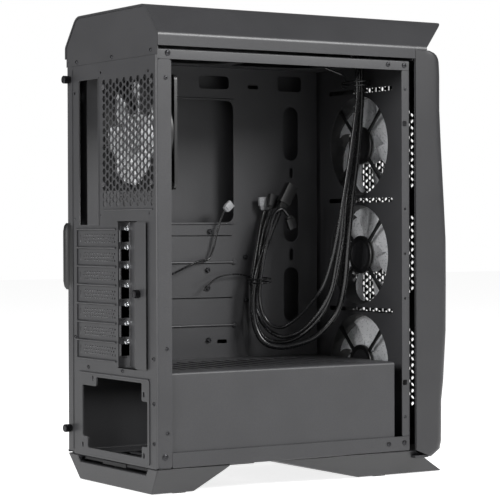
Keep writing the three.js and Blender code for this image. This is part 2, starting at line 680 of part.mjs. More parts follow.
// Fan frame, struts on the side that faces the case. `face` is the Y of that side and
// `way` is -1 when the frame lies in front of it and +1 behind it.
function fanFrame(x, z, face, way) {
  const y0 = Math.min(face, face + way * fanDepth);
  const y1 = Math.max(face, face + way * fanDepth);
  const half = fanSize / 2;
  const shape = panelShape(x - half, x + half, z - half, z + half, 6);
  const bore = new THREE.Path();
  bore.absarc(x, z, fanBore / 2, 0, 2 * Math.PI);
  shape.holes.push(bore);
  const ring = plate(shape, 'Y', y0, y1, 10);
  const holes = [];
  [-1, 1].forEach((i) => [-1, 1].forEach((j) => {
    holes.push(bar('Y', x + i * fanHoleSpan / 2, z + j * fanHoleSpan / 2, 2.2, y0 - 1, y1 + 1, 2));
  }));
  const inner = face + way * 4;
  const hub = bar('Y', x, z, 22, Math.min(face, inner), Math.max(face, inner), 5);
  const struts = [];
  for (let k = 0; k < 4; k += 1) {
    const arm = new THREE.BoxGeometry(fanBore / 2 - 12, 4, 4.4);
    arm.translate((fanBore / 2 - 12) / 2 + 14, face + way * 2, 0);
    arm.rotateY(Math.PI / 4 + k * Math.PI / 2);
    arm.translate(x, 0, z);
    struts.push(solid(arm));
  }
  return join(cut(ring, ...holes), hub, ...struts);
}

// Rotor: hub and pitched blades, centred in the frame's depth.
function fanRotor(x, z, face, way) {
  const start = face + way * (4 + 1.2);
  const end = face + way * (fanDepth - 1.5);
  const hub = bar('Y', x, z, 20.5, Math.min(start, end), Math.max(start, end), 5);
  const middle = (start + end) / 2;
  const blades = [];
  for (let k = 0; k < bladeCount; k += 1) {
    const corners = [];
    [[18, 9, 38], [fanBore / 2 - fanTipRoom, 15, 24]].forEach(([radius, chord, pitchDegrees]) => {
      const pitch = THREE.MathUtils.degToRad(pitchDegrees);
      [-1, 1].forEach((side) => [-0.9, 0.9].forEach((skin) => {
        const along = side * chord * Math.cos(pitch) - skin * Math.sin(pitch);
        const across = side * chord * Math.sin(pitch) + skin * Math.cos(pitch);
        const reach = Math.sqrt(radius * radius - along * along);
        corners.push([along, across * 0.95, reach]);
      }));
    });
    const blade = new ConvexGeometry(corners.map((p) => new THREE.Vector3(...p)));
    blade.rotateY(k * 2 * Math.PI / bladeCount);
    blade.translate(x, middle, z);
    blades.push(solid(blade));
  }
  return join(hub, ...blades);
}

frontFans.forEach((z, i) => {
  piece(`front_fan_frame_${i + 1}`, fanFrame(fanX, z, frontFanY, -1), blackPlastic);
  piece(`front_fan_rotor_${i + 1}`, fanRotor(fanX, z, frontFanY, -1), bladePlastic);
});
const rearFanFace = back(sheet + gap + fanDepth);
piece('rear_fan_frame', fanFrame(rearFanX, rearFanZ, rearFanFace, 1), blackPlastic);
piece('rear_fan_rotor', fanRotor(rearFanX, rearFanZ, rearFanFace, 1), bladePlastic);

// ---------------------------------------------------------------- feet and filter

const footInset = 20;       // bottom edges inside the top ones, each side
const footTop = footHeight - gap;
const footBase = 1;

// Hollow moulded foot from its corner points on the window side, mirrored.
function foot(points, wall) {
  const both = (list) => list.flatMap(([x, d, z]) => [[x, back(d), z], [-x, back(d), z]]);
  const outer = hull(both(points));
  const middleD = (Math.min(...points.map((p) => p[1])) + Math.max(...points.map((p) => p[1]))) / 2;
  const inner = hull(both(points.map(([x, d, z]) => [
    x - Math.sign(x) * wall, d + Math.sign(middleD - d) * wall * 1.6, z > 15 ? z + 3 : z + wall,
  ])));
  return cut(outer, inner);
}
const sole = width / 2 - glassRoom - footInset;
const filterX = 79;
const filterZ0 = footHeight - 7.6;
function rearFoot() {
  const points = [
    [-left, 0, footTop], [-left, 90, footTop], [sole, 4, footBase], [sole, 55, footBase], [sole - 4, 64, footBase + 3],
  ];
  const mouth = hull([
    [-filterX, back(-5), footTop + 1], [filterX, back(-5), footTop + 1],
    [-filterX + 5, back(-5), filterZ0], [filterX - 5, back(-5), filterZ0],
    [-filterX, back(8), footTop + 1], [filterX, back(8), footTop + 1],
    [-filterX + 5, back(8), filterZ0], [filterX - 5, back(8), filterZ0],
  ]);
  const frontMouth = box(-filterX, filterX, back(95), back(60), filterZ0, footTop + 1);
  return cut(foot(points, 2.6), mouth, frontMouth);
}
const padSpots = [
  ['rear_left', -1, 40], ['rear_right', 1, 40], ['front_left', -1, 300], ['front_right', 1, 300],
];
const padX = sole - padSize / 2 - 3;
const padPocket = (side, d) => box(side * padX - padSize / 2 - gap, side * padX + padSize / 2 + gap,
  back(d + padSize / 2 + gap), back(d - padSize / 2 - gap), -1, footBase + 1.2);
piece('rear_foot', cut(rearFoot(), padPocket(-1, 40), padPocket(1, 40)), coverPlastic);
function frontFoot() {
  return foot([
    [-left - 6, 146, footTop], [-left, 250, footTop], [-left, 333, footTop],
    [sole, 268, footBase], [sole, 385, footBase],
  ], 2.6);
}
piece('front_foot', cut(frontFoot(), padPocket(-1, 300), padPocket(1, 300)), coverPlastic);
padSpots.forEach(([name, side, d]) => {
  piece(`foot_pad_${name}`, box(side * padX - padSize / 2, side * padX + padSize / 2,
    back(d + padSize / 2), back(d - padSize / 2), 0, footBase + 0.9), rubber);
});

// Dust filter that slides in under the power supply from the rear.
function dustFilter() {
  const half = filterX - 7;
  const z1 = footTop - 1.2;
  const z0 = z1 - filterThick;
  const frame = box(-half, half, back(filterLength), back(5), z0, z1);
  const pull = box(-26, 26, back(5), back(3.4), z0 - 1, z1);
  const windows = [];
  for (let d = 16; d < filterLength - 20; d += 36) {
    windows.push(box(-half + 6, -4, back(d + 28), back(d), z0 - 1, z1 + 1));
    windows.push(box(4, half - 6, back(d + 28), back(d), z0 - 1, z1 + 1));
  }
  return join(cut(frame, ...windows), pull);
}
piece('dust_filter', dustFilter(), netting);

// ---------------------------------------------------------------- leads

// Smooth tube through points, as a closed solid.
function lead(points, diameter, steps) {
  const curve = new THREE.CatmullRomCurve3(points.map((p) => new THREE.Vector3(...p)), false, 'centripetal');
  const section = new THREE.Shape();
  const sides = 8;
  for (let k = 0; k < sides; k += 1) {
    const angle = 2 * Math.PI * k / sides;
    const corner = [diameter / 2 * Math.cos(angle), diameter / 2 * Math.sin(angle)];
    if (k === 0) section.moveTo(...corner);
    else section.lineTo(...corner);
  }
  return new THREE.ExtrudeGeometry(section, { steps, extrudePath: curve });
}

// Plug at the end of a lead, pointing along (0, dy, dz), with a narrower boot.
function plug(end, [dy, dz], size, boot) {
  const [thick, wide, long] = size;
  const body = new THREE.BoxGeometry(thick, wide, long - boot);
  body.translate(0, 0, boot + (long - boot) / 2);
  const neck = new THREE.BoxGeometry(thick * 0.7, wide * 0.6, boot + 1);
  neck.translate(0, 0, (boot + 1) / 2);
  const angle = Math.atan2(-dy, dz);
  const reach = 1.4 / Math.hypot(dy, dz);
  [body, neck].forEach((geometry) => {
    geometry.rotateX(angle);
    geometry.translate(end[0], end[1] + dy * reach, end[2] + dz * reach);
  });
  return join(solid(body), solid(neck));
}

// The front-panel leads come from the socket strip, drop through the chassis top beside the
// front fans, loop over the shroud and rise to their plugs beside the motherboard tray.
const leads = {
  usb3: {
    diameter: 7, steps: 44, plug: [9, 14, 33], boot: 9, toward: [-17, 29],
    points: [
      [-30, -158, 496.5], [-30, -157, 491], [-28, -146, 485], [-26, -133, 478], [-24, -126, 462],
      [-24, -126, 429],
      [-22, -122, 368], [-20, -115, 311], [-16, -112, 259], [-8, -112, 211], [2, -108, 180],
      [14, -88, 154], [24, -68, 145], [33, -51, 142], [41, -35, 147], [48, -27, 164],
      [52, -26, 193], [52, -30, 222], [51, -38, 247], [49, -49, 275], [48, -60, 299],
    ],
  },
  usb2: {
    diameter: 5, steps: 48, plug: [6, 11, 16], boot: 3, toward: [-3, 15],
    points: [
      [-8, -158, 496.5], [-8, -157, 491], [-10, -146, 485], [-13, -134, 477], [-14, -129, 462],
      [-14, -129, 430],
      [-13, -123, 369], [-11, -114, 307], [-8, -112, 265], [-4, -107, 235], [3, -103, 205],
      [14, -92, 174], [30, -72, 152], [40, -55, 147], [49, -39, 153], [56, -33, 173],
      [60, -34, 199], [60, -38, 228], [60, -42, 256], [59, -48, 282], [58, -55, 301],
    ],
  },
  audio: {
    diameter: 4, steps: 56, plug: [6, 11, 15], boot: 3, toward: [-6, -15],
    points: [
      [19, -158, 496.5], [19, -157, 491], [8, -146, 489], [-12, -133, 484], [-31, -119, 474],
      [-38, -110, 456],
      [-38, -110, 428], [-37, -102, 368], [-34, -92, 306], [-30, -88, 274], [-24, -84, 243],
      [-14, -78, 212], [2, -70, 190], [16, -61, 174], [28, -51, 165], [37, -42, 167],
      [43, -35, 178], [44, -30, 198], [44, -32, 224], [43, -37, 252], [42, -43, 277],
      [41, -50, 297], [40, -59, 301], [40, -67, 294],
    ],
  },
  switch: {
    diameter: 5, steps: 52, plug: [4, 16, 15], boot: 5, toward: [1, 15],
    points: [
      [53, -158, 496.5], [53, -157, 491], [42, -146, 489], [14, -129, 484], [-18, -118, 478],
      [-28, -119, 462],
      [-28, -119, 429], [-27, -110, 368], [-25, -100, 306], [-22, -98, 270], [-17, -95, 239],
      [-10, -91, 205], [3, -78, 175], [18, -65, 158], [34, -52, 154], [51, -43, 164],
      [63, -38, 183], [68, -35, 207], [68, -39, 235], [68, -44, 261], [67, -48, 284],
      [66, -52, 299],
    ],
  },
  rear_fan: {
    diameter: 2.4, steps: 36, plug: [5, 9, 12], boot: 3, toward: [-8, 7],
    points: [
      [10, 168, 318.5], [10, 167, 308], [14, 160, 287], [22, 140, 254], [31, 118, 234], [41, 98, 226],
      [52, 81, 228], [62, 58, 235], [67, 36, 242], [69, 23, 244], [70, 17, 254], [70, 13, 268],
      [69, 8, 286], [68, 3, 299],
    ],
  },
};
Object.entries(leads).forEach(([name, { points, diameter, steps, plug: size, boot, toward }]) => {
  piece(`${name}_lead`, lead(points, diameter, steps), cable);
  piece(`${name}_plug`, plug(points[points.length - 1], toward, size, boot), blackPlastic);
});

export default tower;
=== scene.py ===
# %% [markdown]
# # A desktop computer tower, built round its working frame
# The frame is the plain model that moves and collides. This lesson puts the looks round it: folded
# steel sheet, moulded covers, pierced grilles, fans and leads. Every piece rides on one of its bodies.

# %% The frame and its size
import math
import bpy
import bmesh
import numpy as np
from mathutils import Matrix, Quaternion, Vector
from mathutils.geometry import delaunay_2d_cdt


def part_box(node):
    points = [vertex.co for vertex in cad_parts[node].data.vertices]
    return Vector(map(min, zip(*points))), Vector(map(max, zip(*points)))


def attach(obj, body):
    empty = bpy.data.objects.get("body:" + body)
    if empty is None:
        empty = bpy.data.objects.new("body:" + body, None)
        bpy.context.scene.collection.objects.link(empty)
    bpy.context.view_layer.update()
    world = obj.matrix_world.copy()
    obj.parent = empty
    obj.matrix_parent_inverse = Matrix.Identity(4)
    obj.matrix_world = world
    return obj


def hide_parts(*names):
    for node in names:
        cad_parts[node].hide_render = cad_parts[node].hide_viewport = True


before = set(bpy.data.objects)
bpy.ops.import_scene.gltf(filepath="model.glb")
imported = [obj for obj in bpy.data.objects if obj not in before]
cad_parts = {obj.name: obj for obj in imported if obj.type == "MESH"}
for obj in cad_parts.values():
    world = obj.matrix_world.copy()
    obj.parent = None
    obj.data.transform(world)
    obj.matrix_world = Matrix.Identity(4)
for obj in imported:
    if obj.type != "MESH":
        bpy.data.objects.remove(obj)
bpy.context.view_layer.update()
MM = 0.001


def span(node):
    """Lowest and highest corner of a frame node, in millimetres."""
    low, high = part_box(node)
    return np.array(low) / MM, np.array(high) / MM


# %% [markdown]
# ## The places that everything hangs on
# A tower case follows the mainboard standard: slots 20.32 mm apart, a socket opening of 158.75 by
# 44.45 mm, 120 mm fans. Places come from the frame's nodes, so a piece lands where the frame has it.

# %% Places, in millimetres
SHEET = 1.0
SHELL = 2.4
GAP = 0.3
SLOT_PITCH = 20.32
panel_low, panel_high = span("rear_panel")
LEFT, SEAM_Z = panel_low[0], panel_high[2]
REAR = span("right_side_panel")[1][1] - 3.4
RIGHT, TOP_Z = span("chassis_top")[1][0], span("chassis_top")[1][2]
FLOOR_Z = span("chassis_floor")[0][2]
cover_low, cover_high = span("top_cover")
HALF, COVER_Z, FRONT_Y = cover_high[0], cover_high[2], cover_low[1]
BEND_Z = COVER_Z - 32.5
LIP_X = span("right_side_panel")[0][0]
PANEL_X = LIP_X + 15
TRAY_X = RIGHT - 21.5
SHROUD_Z = span("psu_shroud")[1][2]
SLOTS_X = TRAY_X + 2.8
SLOT_START = SLOTS_X - 91.8
SLOTS_Z = SHROUD_Z + 7
SLOTS_TOP = SLOTS_Z + 7 * SLOT_PITCH
SLOT_MIDDLES = SLOTS_TOP - (np.arange(7) + 0.5) * SLOT_PITCH
POCKET_X = SLOT_START - 3.5
POCKET_EDGE = POCKET_X - 42
POCKET_LOW, POCKET_HIGH = SLOTS_Z - 5.5, SLOTS_TOP + 7.2
IO_X = TRAY_X - 4.2
IO_Z = SLOTS_TOP + 4.6
FAN_X = (LEFT + RIGHT) / 2 - 1


def back(distance):
    """Y at a distance in front of the rear panel's outer face."""
    return REAR - distance


print("rear face Y", round(REAR, 2), "window face X", round(LEFT, 2), "chassis top Z", round(TOP_Z, 2))

# %% [markdown]
# ## Camera
# The case is seen from behind on its open side, at the height of its middle, through a long lens.

# %% Camera
camera_data = bpy.data.cameras.new("camera")
camera_data.lens = 143.5
camera_data.sensor_width = 36
camera_data.shift_x = -0.0066
camera_data.shift_y = 0.004
camera = bpy.data.objects.new("camera", camera_data)
bpy.context.scene.collection.objects.link(camera)
bpy.context.scene.camera = camera
yaw, pitch, roll = (math.radians(angle) for angle in (-32.31, 0.69, -0.18))
forward = Vector((math.cos(yaw) * math.cos(pitch), math.sin(yaw) * math.cos(pitch), -math.sin(pitch)))
camera.location = (-1.8943, 1.20425, 0.2793)
camera.rotation_euler = (forward.to_track_quat("-Z", "Y") @ Quaternion((0, 0, 1), roll)).to_euler()
print("camera looks along", [round(value, 3) for value in forward])

# %% [markdown]
# ## Finishes
# Nearly all of the case is one of two things: steel with a baked powder coat, or moulded ABS. Both are
# dark and slightly rough. Their grain is finer than a millimetre; it is drawn a little coarser so that it
# shows. Colours are given as on screen and turned to linear light by one function.

# %% Colours and nodes
def linear(code):
    """Linear colour of an sRGB hex colour: below 0.04045 v/12.92, above it ((v+0.055)/1.055)^2.4."""
    values = np.array([int(code[i:i + 2], 16) for i in (0, 2, 4)]) / 255
    light = np.where(values <= 0.04045, values / 12.92, ((values + 0.055) / 1.055) ** 2.4)
    return (*(float(value) for value in light), 1.0)


def add(tree, kind, sockets=None, **settings):
    """Adds one shader node: settings are its properties, sockets its input values or links."""
    made = tree.nodes.new(kind)
    for name, value in settings.items():
        setattr(made, name, value)
    for name, value in (sockets or {}).items():
        if isinstance(value, bpy.types.NodeSocket):
            tree.links.new(value, made.inputs[name])
        else:
            made.inputs[name].default_value = value
    return made


def finish_of(name, dark, light, grain, depth, roughness, **shader):
    """A material whose colour wanders between two tones over patches and whose surface has a grain.

    grain is the size of a grain in millimetres and depth its height; the noise scale is 1 / size."""
    material = bpy.data.materials.new(name)
    material.use_nodes = True
    tree = material.node_tree
    tree.nodes.clear()
    place = add(tree, "ShaderNodeTexCoord").outputs["Object"]
    patches = add(tree, "ShaderNodeTexNoise", {"Vector": place, "Scale": 1 / (60 * MM), "Detail": 4.0})
    fine = add(tree, "ShaderNodeTexNoise", {"Vector": place, "Scale": 1 / (grain * MM), "Detail": 2.0})
    blend = add(tree, "ShaderNodeMath", {0: patches.outputs["Fac"], 1: fine.outputs["Fac"]},
                operation="MULTIPLY")
    tone = add(tree, "ShaderNodeMapRange", {"Value": blend.outputs[0], "From Min": 0.1, "From Max": 0.4})
    mix = add(tree, "ShaderNodeMixRGB", {
        "Fac": tone.outputs[0], "Color1": linear(dark), "Color2": linear(light)})
    sheen = add(tree, "ShaderNodeMapRange", {
        "Value": fine.outputs["Fac"], "From Min": 0.3, "From Max": 0.7,
        "To Min": roughness - 0.05, "To Max": roughness + 0.05})
    bump = add(tree, "ShaderNodeBump", {
        "Height": fine.outputs["Fac"], "Strength": 0.5, "Distance": depth * MM})
    surface = add(tree, "ShaderNodeBsdfPrincipled", {
        "Base Color": mix.outputs[0], "Roughness": sheen.outputs[0], "Normal": bump.outputs[0], **shader})
    add(tree, "ShaderNodeOutputMaterial", {"Surface": surface.outputs[0]})
    return material


# %% Steel, plastics and metals
# Powder coat: epoxy-polyester baked on sheet steel, IOR 1.5, a fine satin grain like sandpaper dust.
COAT = finish_of("powder_coated_steel", "333335", "3d3d3f", 1.3, 0.10, 0.46)
# Cover: ABS moulded in a spark-eroded tool, satin with an even fine grain.
ABS_COVER = finish_of("moulded_abs_cover", "323234", "3b3b3d", 1.1, 0.05, 0.36)
# Front: the same ABS, a shade darker.
ABS_FRONT = finish_of("moulded_abs_front", "29292b", "313133", 1.1, 0.05, 0.4)
# Feet: the same ABS, left darker, for they stand in their own shade.
ABS_FOOT = finish_of("moulded_abs_feet", "29292b", "313133", 1.1, 0.05, 0.42)
# Fan frames, sockets, mesh: black PBT and polypropylene, smoother than the covers. On the finger pull and
# the plug wells the same black is painted shade.
BLACK = finish_of("black_moulded_pbt", "0e0e0f", "151516", 1.5, 0.05, 0.38)
# Blades: polycarbonate moulded frosted, so a little light passes and most spreads. Their near-white colour is
# partly their own pale tone and partly painted light for the reflections and backlight that brighten them.
FROSTED_PAINTED_LIGHT = finish_of("frosted_polycarbonate_painted_light", "dcdee0", "ececee", 2.5, 0.04, 0.3,
                    **{"Transmission Weight": 0.22, "IOR": 1.2})
# Thumbscrews: steel with black zinc, dark and glossy, bright where its edges catch light.
BLACK_ZINC = finish_of("black_zinc_steel", "2c2c2e", "3c3c3e", 2.0, 0.03, 0.33, Metallic=0.8)
# Small screws: steel, bright zinc.
ZINC = finish_of("bright_zinc_steel", "b4b6b9", "cfd1d4", 2.0, 0.03, 0.25, Metallic=1.0)
# Foot pads: nitrile rubber, matt.
RUBBER = finish_of("nitrile_rubber", "0d0d0e", "151516", 1.2, 0.10, 0.85)
# Filters: woven nylon in a moulded frame.
NYLON = finish_of("nylon_net", "151516", "1d1d1f", 1.0, 0.08, 0.7)
# Leads: soft PVC jacket, smooth with a greasy sheen.
PVC = finish_of("pvc_jacket", "161617", "1f1f21", 3.0, 0.03, 0.24)
# Plug shells: nylon 66, light natural colour for the small ones.
PALE_NYLON = finish_of("natural_nylon", "8f9093", "b5b6b8", 1.5, 0.05, 0.45)
# Hub labels: satin foil with a plain ring.
FOIL = finish_of("satin_foil", "2c2c2e", "3a3a3c", 3.0, 0.02, 0.35, Metallic=0.4)
print("finishes:", len(bpy.data.materials))

# %% [markdown]
# ## Drawing in sheet
# Folded sheet is flat plate with holes. An outline and its holes are filled with triangles by a
# constrained Delaunay triangulation, which keeps every edge, then given its thickness. Anything else is
# a grid of points, worked out as whole arrays, with a second grid one wall thickness inside it.

# %% Outlines
def rectangle(u0, u1, v0, v1, radius=0.0, steps=4):
    """Corner points of a rectangle with round corners: centre + r (cos a, sin a), a by quarter turns."""
    if radius <= 0:
        return np.array([[u0, v0], [u1, v0], [u1, v1], [u0, v1]], float)
    angles = np.linspace(0, math.pi / 2, steps + 1)
    centres = [(u1 - radius, v1 - radius), (u0 + radius, v1 - radius),
               (u0 + radius, v0 + radius), (u1 - radius, v0 + radius)]
    return np.vstack([np.array(centre) + radius * np.column_stack([
        np.cos(angles + k * math.pi / 2), np.sin(angles + k * math.pi / 2)])
        for k, centre in enumerate(centres)])


def ring(u, v, radius, sides=16, start=0.0, squash=1.0):
    """Points of a circle or polygon: (u + r cos a, v + s r sin a)."""
    angles = start + np.arange(sides) * 2 * math.pi / sides
    return np.column_stack([u + radius * np.cos(angles), v + squash * radius * np.sin(angles)])


def rounded(points, closed=True, step=0.25):
    """Rounds each corner (u, v, r): an arc of radius r, tangent to both sides, at least 3 points."""
    count = len(points)
    made = []
    for i, (u, v, radius) in enumerate(points):
        here = np.array([u, v], float)
        if radius <= 0 or (not closed and i in (0, count - 1)):
            made.append(here)
            continue
        before = np.array(points[i - 1][:2], float) - here
        after = np.array(points[(i + 1) % count][:2], float) - here
        before, after = before / np.linalg.norm(before), after / np.linalg.norm(after)
        half = math.acos(float(np.clip(before @ after, -1, 1))) / 2
        centre = here + (before + after) / np.linalg.norm(before + after) * radius / math.sin(half)
        first = here + before * radius / math.tan(half) - centre
        last = here + after * radius / math.tan(half) - centre
        sweep = math.atan2(first[0] * last[1] - first[1] * last[0], first @ last)
        angles = np.linspace(0, sweep, max(3, int(abs(sweep) / step) + 2))
        made += [centre + np.array([math.cos(a) * first[0] - math.sin(a) * first[1],
                                    math.sin(a) * first[0] + math.cos(a) * first[1]]) for a in angles]
    return np.array(made)


def offset(line, distance, closed=False):
    """Moves a line sideways to its left, each corner along the mean of its two normals."""
    steps = np.roll(line, -1, 0) - line if closed else np.diff(line, axis=0)
    normals = np.column_stack([-steps[:, 1], steps[:, 0]]) / np.linalg.norm(steps, axis=1)[:, None]
    before = np.roll(normals, 1, 0) if closed else np.vstack([normals[:1], normals])
    after = normals if closed else np.vstack([normals, normals[-1:]])
    mean = before + after
    mean /= (mean * mean).sum(1)[:, None] / 2
    return line + mean * distance


# %% Filling and thickening
AXES = {"X": (1, 2, 0), "Y": (0, 2, 1), "Z": (0, 1, 2)}


def lifted(flat, axis, level):
    """Drawing points to space: (y, z) for axis X, (x, z) for Y, (x, y) for Z."""
    first, second, third = AXES[axis]
    points = np.zeros((len(flat), 3))
    points[:, first], points[:, second], points[:, third] = flat[:, 0], flat[:, 1], level
    return points


def inside(spots, loops):
    """Whether each spot is within the loops: an odd number of edges crosses the ray to its right."""
    starts = np.vstack(loops)
    ends = np.vstack([np.roll(loop, -1, 0) for loop in loops])
    odd = np.zeros(len(spots), bool)
    for part in np.array_split(np.arange(len(spots)), max(1, len(spots) * len(starts) // 4000000)):
        u, v = spots[part, 0][:, None], spots[part, 1][:, None]
        crosses = (starts[:, 1] > v) != (ends[:, 1] > v)
        rise = np.where(crosses, ends[:, 1] - starts[:, 1], 1)
        at = starts[:, 0] + (v - starts[:, 1]) * (ends[:, 0] - starts[:, 0]) / rise
        odd[part] = (crosses & (u < at)).sum(1) % 2 == 1
    return odd


def fill(loops):
    """Triangles of the area inside the loops; a loop inside another is a hole."""
    edges, start = [], 0
    for loop in loops:
        count = len(loop)
        edges += [(start + i, start + (i + 1) % count) for i in range(count)]
        start += count
    corners = [Vector((float(u), float(v))) for u, v in np.vstack(loops)]
    points, _, triangles, *_ = delaunay_2d_cdt(corners, edges, [], 0, 1e-5)
    points = np.array([[p.x, p.y] for p in points])
    triangles = np.array([face[:3] for face in triangles])
    return points, triangles[inside(points[triangles].mean(1), loops)]


def outward(points, faces):
    """Turns all faces over if the solid's signed volume, the sum of a.(b x c) / 6, is negative."""
    fan = np.array([(face[0], face[k], face[k + 1]) for face in faces for k in range(1, len(face) - 1)])
    a, b, c = points[fan[:, 0]], points[fan[:, 1]], points[fan[:, 2]]
    volume = np.einsum("ij,ij->i", a - points[0], np.cross(b - points[0], c - points[0])).sum()
    return points, faces if volume > 0 else [tuple(face[::-1]) for face in faces]


def between(low, high, faces):
    """Closed solid from two matching sheets of points, with a wall round every open edge."""
    count = len(low)
    faces = [tuple(int(i) for i in face) for face in faces]
    directed = {(face[i - 1], face[i]) for face in faces for i in range(len(face))}
    walls = [(j, i, i + count, j + count) for i, j in directed if (j, i) not in directed]
    flipped = [face[::-1] for face in faces]
    raised = [tuple(i + count for i in face) for face in faces]
    return outward(np.vstack([low, high]), flipped + raised + walls)


def plate(axis, low, high, *loops):
    """Flat plate with holes, from level low to level high on an axis."""
    flat, faces = fill(loops)
    return between(lifted(flat, axis, low), lifted(flat, axis, high), faces)


def block(x0, x1, y0, y1, z0, z1):
    """Plain bar between two corners, as part of a bigger piece."""
    return plate("Z", min(z0, z1), max(z0, z1), rectangle(min(x0, x1), max(x0, x1), min(y0, y1), max(y0, y1)))


def folded(axis, low, high, corners, thickness):
    """Folded strip: an open line with rounded bends (u, v, r), thickened to its left, carried on an axis."""
    line = rounded(corners, closed=False)
    return plate(axis, low, high, np.vstack([line, offset(line, thickness)[::-1]]))


def grid_faces(rows, columns, keep=None, around=False):
    """Quads of a grid of rows x columns; keep masks them; around closes the last column to the first."""
    row, column = np.meshgrid(np.arange(rows - 1), np.arange(columns if around else columns - 1),
                              indexing="ij")
    if keep is not None:
        row, column = row[keep], column[keep]
    row, column = row.ravel(), column.ravel()
    after = (column + 1) % columns
    return np.column_stack([row * columns + column, row * columns + after,
                            (row + 1) * columns + after, (row + 1) * columns + column])


def turned(axis, u, v, profile, sides=24, knurl=0.0, teeth=24):
    """Turned solid about an axis through (u, v): radius r at level w, closed on both ends.

    A knurl makes the radius r (1 - k (1 - cos n a) / 2) where the profile's third number is 1."""
    profile = np.array([tuple(p) + (0,) * (3 - len(p)) for p in profile], float)
    angles = np.arange(sides) * 2 * math.pi / sides
    cuts = 1 - knurl * profile[:, 2][:, None] * (1 - np.cos(teeth * angles)) / 2
    radius = profile[:, 0][:, None] * cuts
    flat = np.stack([u + radius * np.cos(angles), v + radius * np.sin(angles)], -1).reshape(-1, 2)
    points = lifted(flat, axis, np.repeat(profile[:, 1], sides))
    faces = [tuple(face) for face in grid_faces(len(profile), sides, around=True)]
    last = (len(profile) - 1) * sides
    faces += [tuple(range(sides))[::-1], tuple(range(last, last + sides))]
    return outward(points, faces)


# %% Making a piece
def piece(name, solids, material, body="case", stands_for=(), bevel=0.0, smooth=30):
    """Joins solids in millimetres into one object, with its finish, its body and the nodes it replaces."""
    points, faces, start = [], [], 0
    for corners, loops in solids:
        points.append(corners)
        faces += [tuple(int(i) + start for i in loop) for loop in loops]
        start += len(corners)
    mesh = bpy.data.meshes.new(name)
    mesh.from_pydata((np.vstack(points) * MM).tolist(), [], faces)
    mesh.shade_smooth()
    mesh.set_sharp_from_angle(angle=math.radians(smooth))
    mesh.materials.append(material)
    made = bpy.data.objects.new(name, mesh)
    bpy.context.scene.collection.objects.link(made)
    if bevel:
        rounding = made.modifiers.new("edges", "BEVEL")
        rounding.width = bevel * MM
        rounding.segments = 2
        rounding.limit_method = "ANGLE"
        rounding.angle_limit = math.radians(35)
    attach(made, body)
    if stands_for:
        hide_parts(*([stands_for] if isinstance(stands_for, str) else stands_for))
    print(name, len(faces), "faces")
    return made


def with_part(made, solids, material):
    """Adds more solids to a piece, in a second finish."""
    mesh = made.data
    mesh.materials.append(material)
    extra = bpy.data.meshes.new("extra")
    points, faces, start = [], [], 0
    for corners, loops in solids:
        points.append(corners)
        faces += [tuple(int(i) + start for i in loop) for loop in loops]
        start += len(corners)
    extra.from_pydata((np.vstack(points) * MM).tolist(), [], faces)
    extra.shade_smooth()
    extra.set_sharp_from_angle(angle=math.radians(30))
    both = bmesh.new()
    both.from_mesh(mesh)
    old = len(both.faces)
    both.from_mesh(extra)
    both.faces.ensure_lookup_table()
    for face in both.faces[old:]:
        face.material_index = len(mesh.materials) - 1
    both.to_mesh(mesh)
    both.free()
    bpy.data.meshes.remove(extra)
    return made


# %% [markdown]
# ## The leads
# Five leads hang in the open case: four from the front sockets and one from the rear fan. On the real
# one each is a soft jacket over a few strands, loose in a bundle. Each is a curve through its points,
# a centripetal Catmull-Rom, which passes through all of them with no loops between.

# %% Lead routes
def smooth_route(points, parts=10):
    """Centripetal Catmull-Rom: on each stretch, the cubic with end slopes from the root of distance."""
    knots = np.array(points, float)
    knots = np.vstack([2 * knots[0] - knots[1], knots, 2 * knots[-1] - knots[-2]])
    p0, p1, p2, p3 = knots[:-3], knots[1:-2], knots[2:-1], knots[3:]
    d0, d1, d2 = (np.sqrt(np.linalg.norm(b - a, axis=1))[:, None] for a, b in ((p0, p1), (p1, p2), (p2, p3)))
    t1 = ((p1 - p0) / d0 - (p2 - p0) / (d0 + d1) + (p2 - p1) / d1) * d1
    t2 = ((p2 - p1) / d1 - (p3 - p1) / (d1 + d2) + (p3 - p2) / d2) * d1
    t = (np.arange(parts) / parts)[None, :, None]
    p1, p2, t1, t2 = (value[:, None, :] for value in (p1, p2, t1, t2))
    made = p1 + t1 * t + (-3 * p1 + 3 * p2 - 2 * t1 - t2) * t ** 2 + (2 * p1 - 2 * p2 + t1 + t2) * t ** 3
    return np.vstack([made.reshape(-1, 3), knots[-2:-1]])


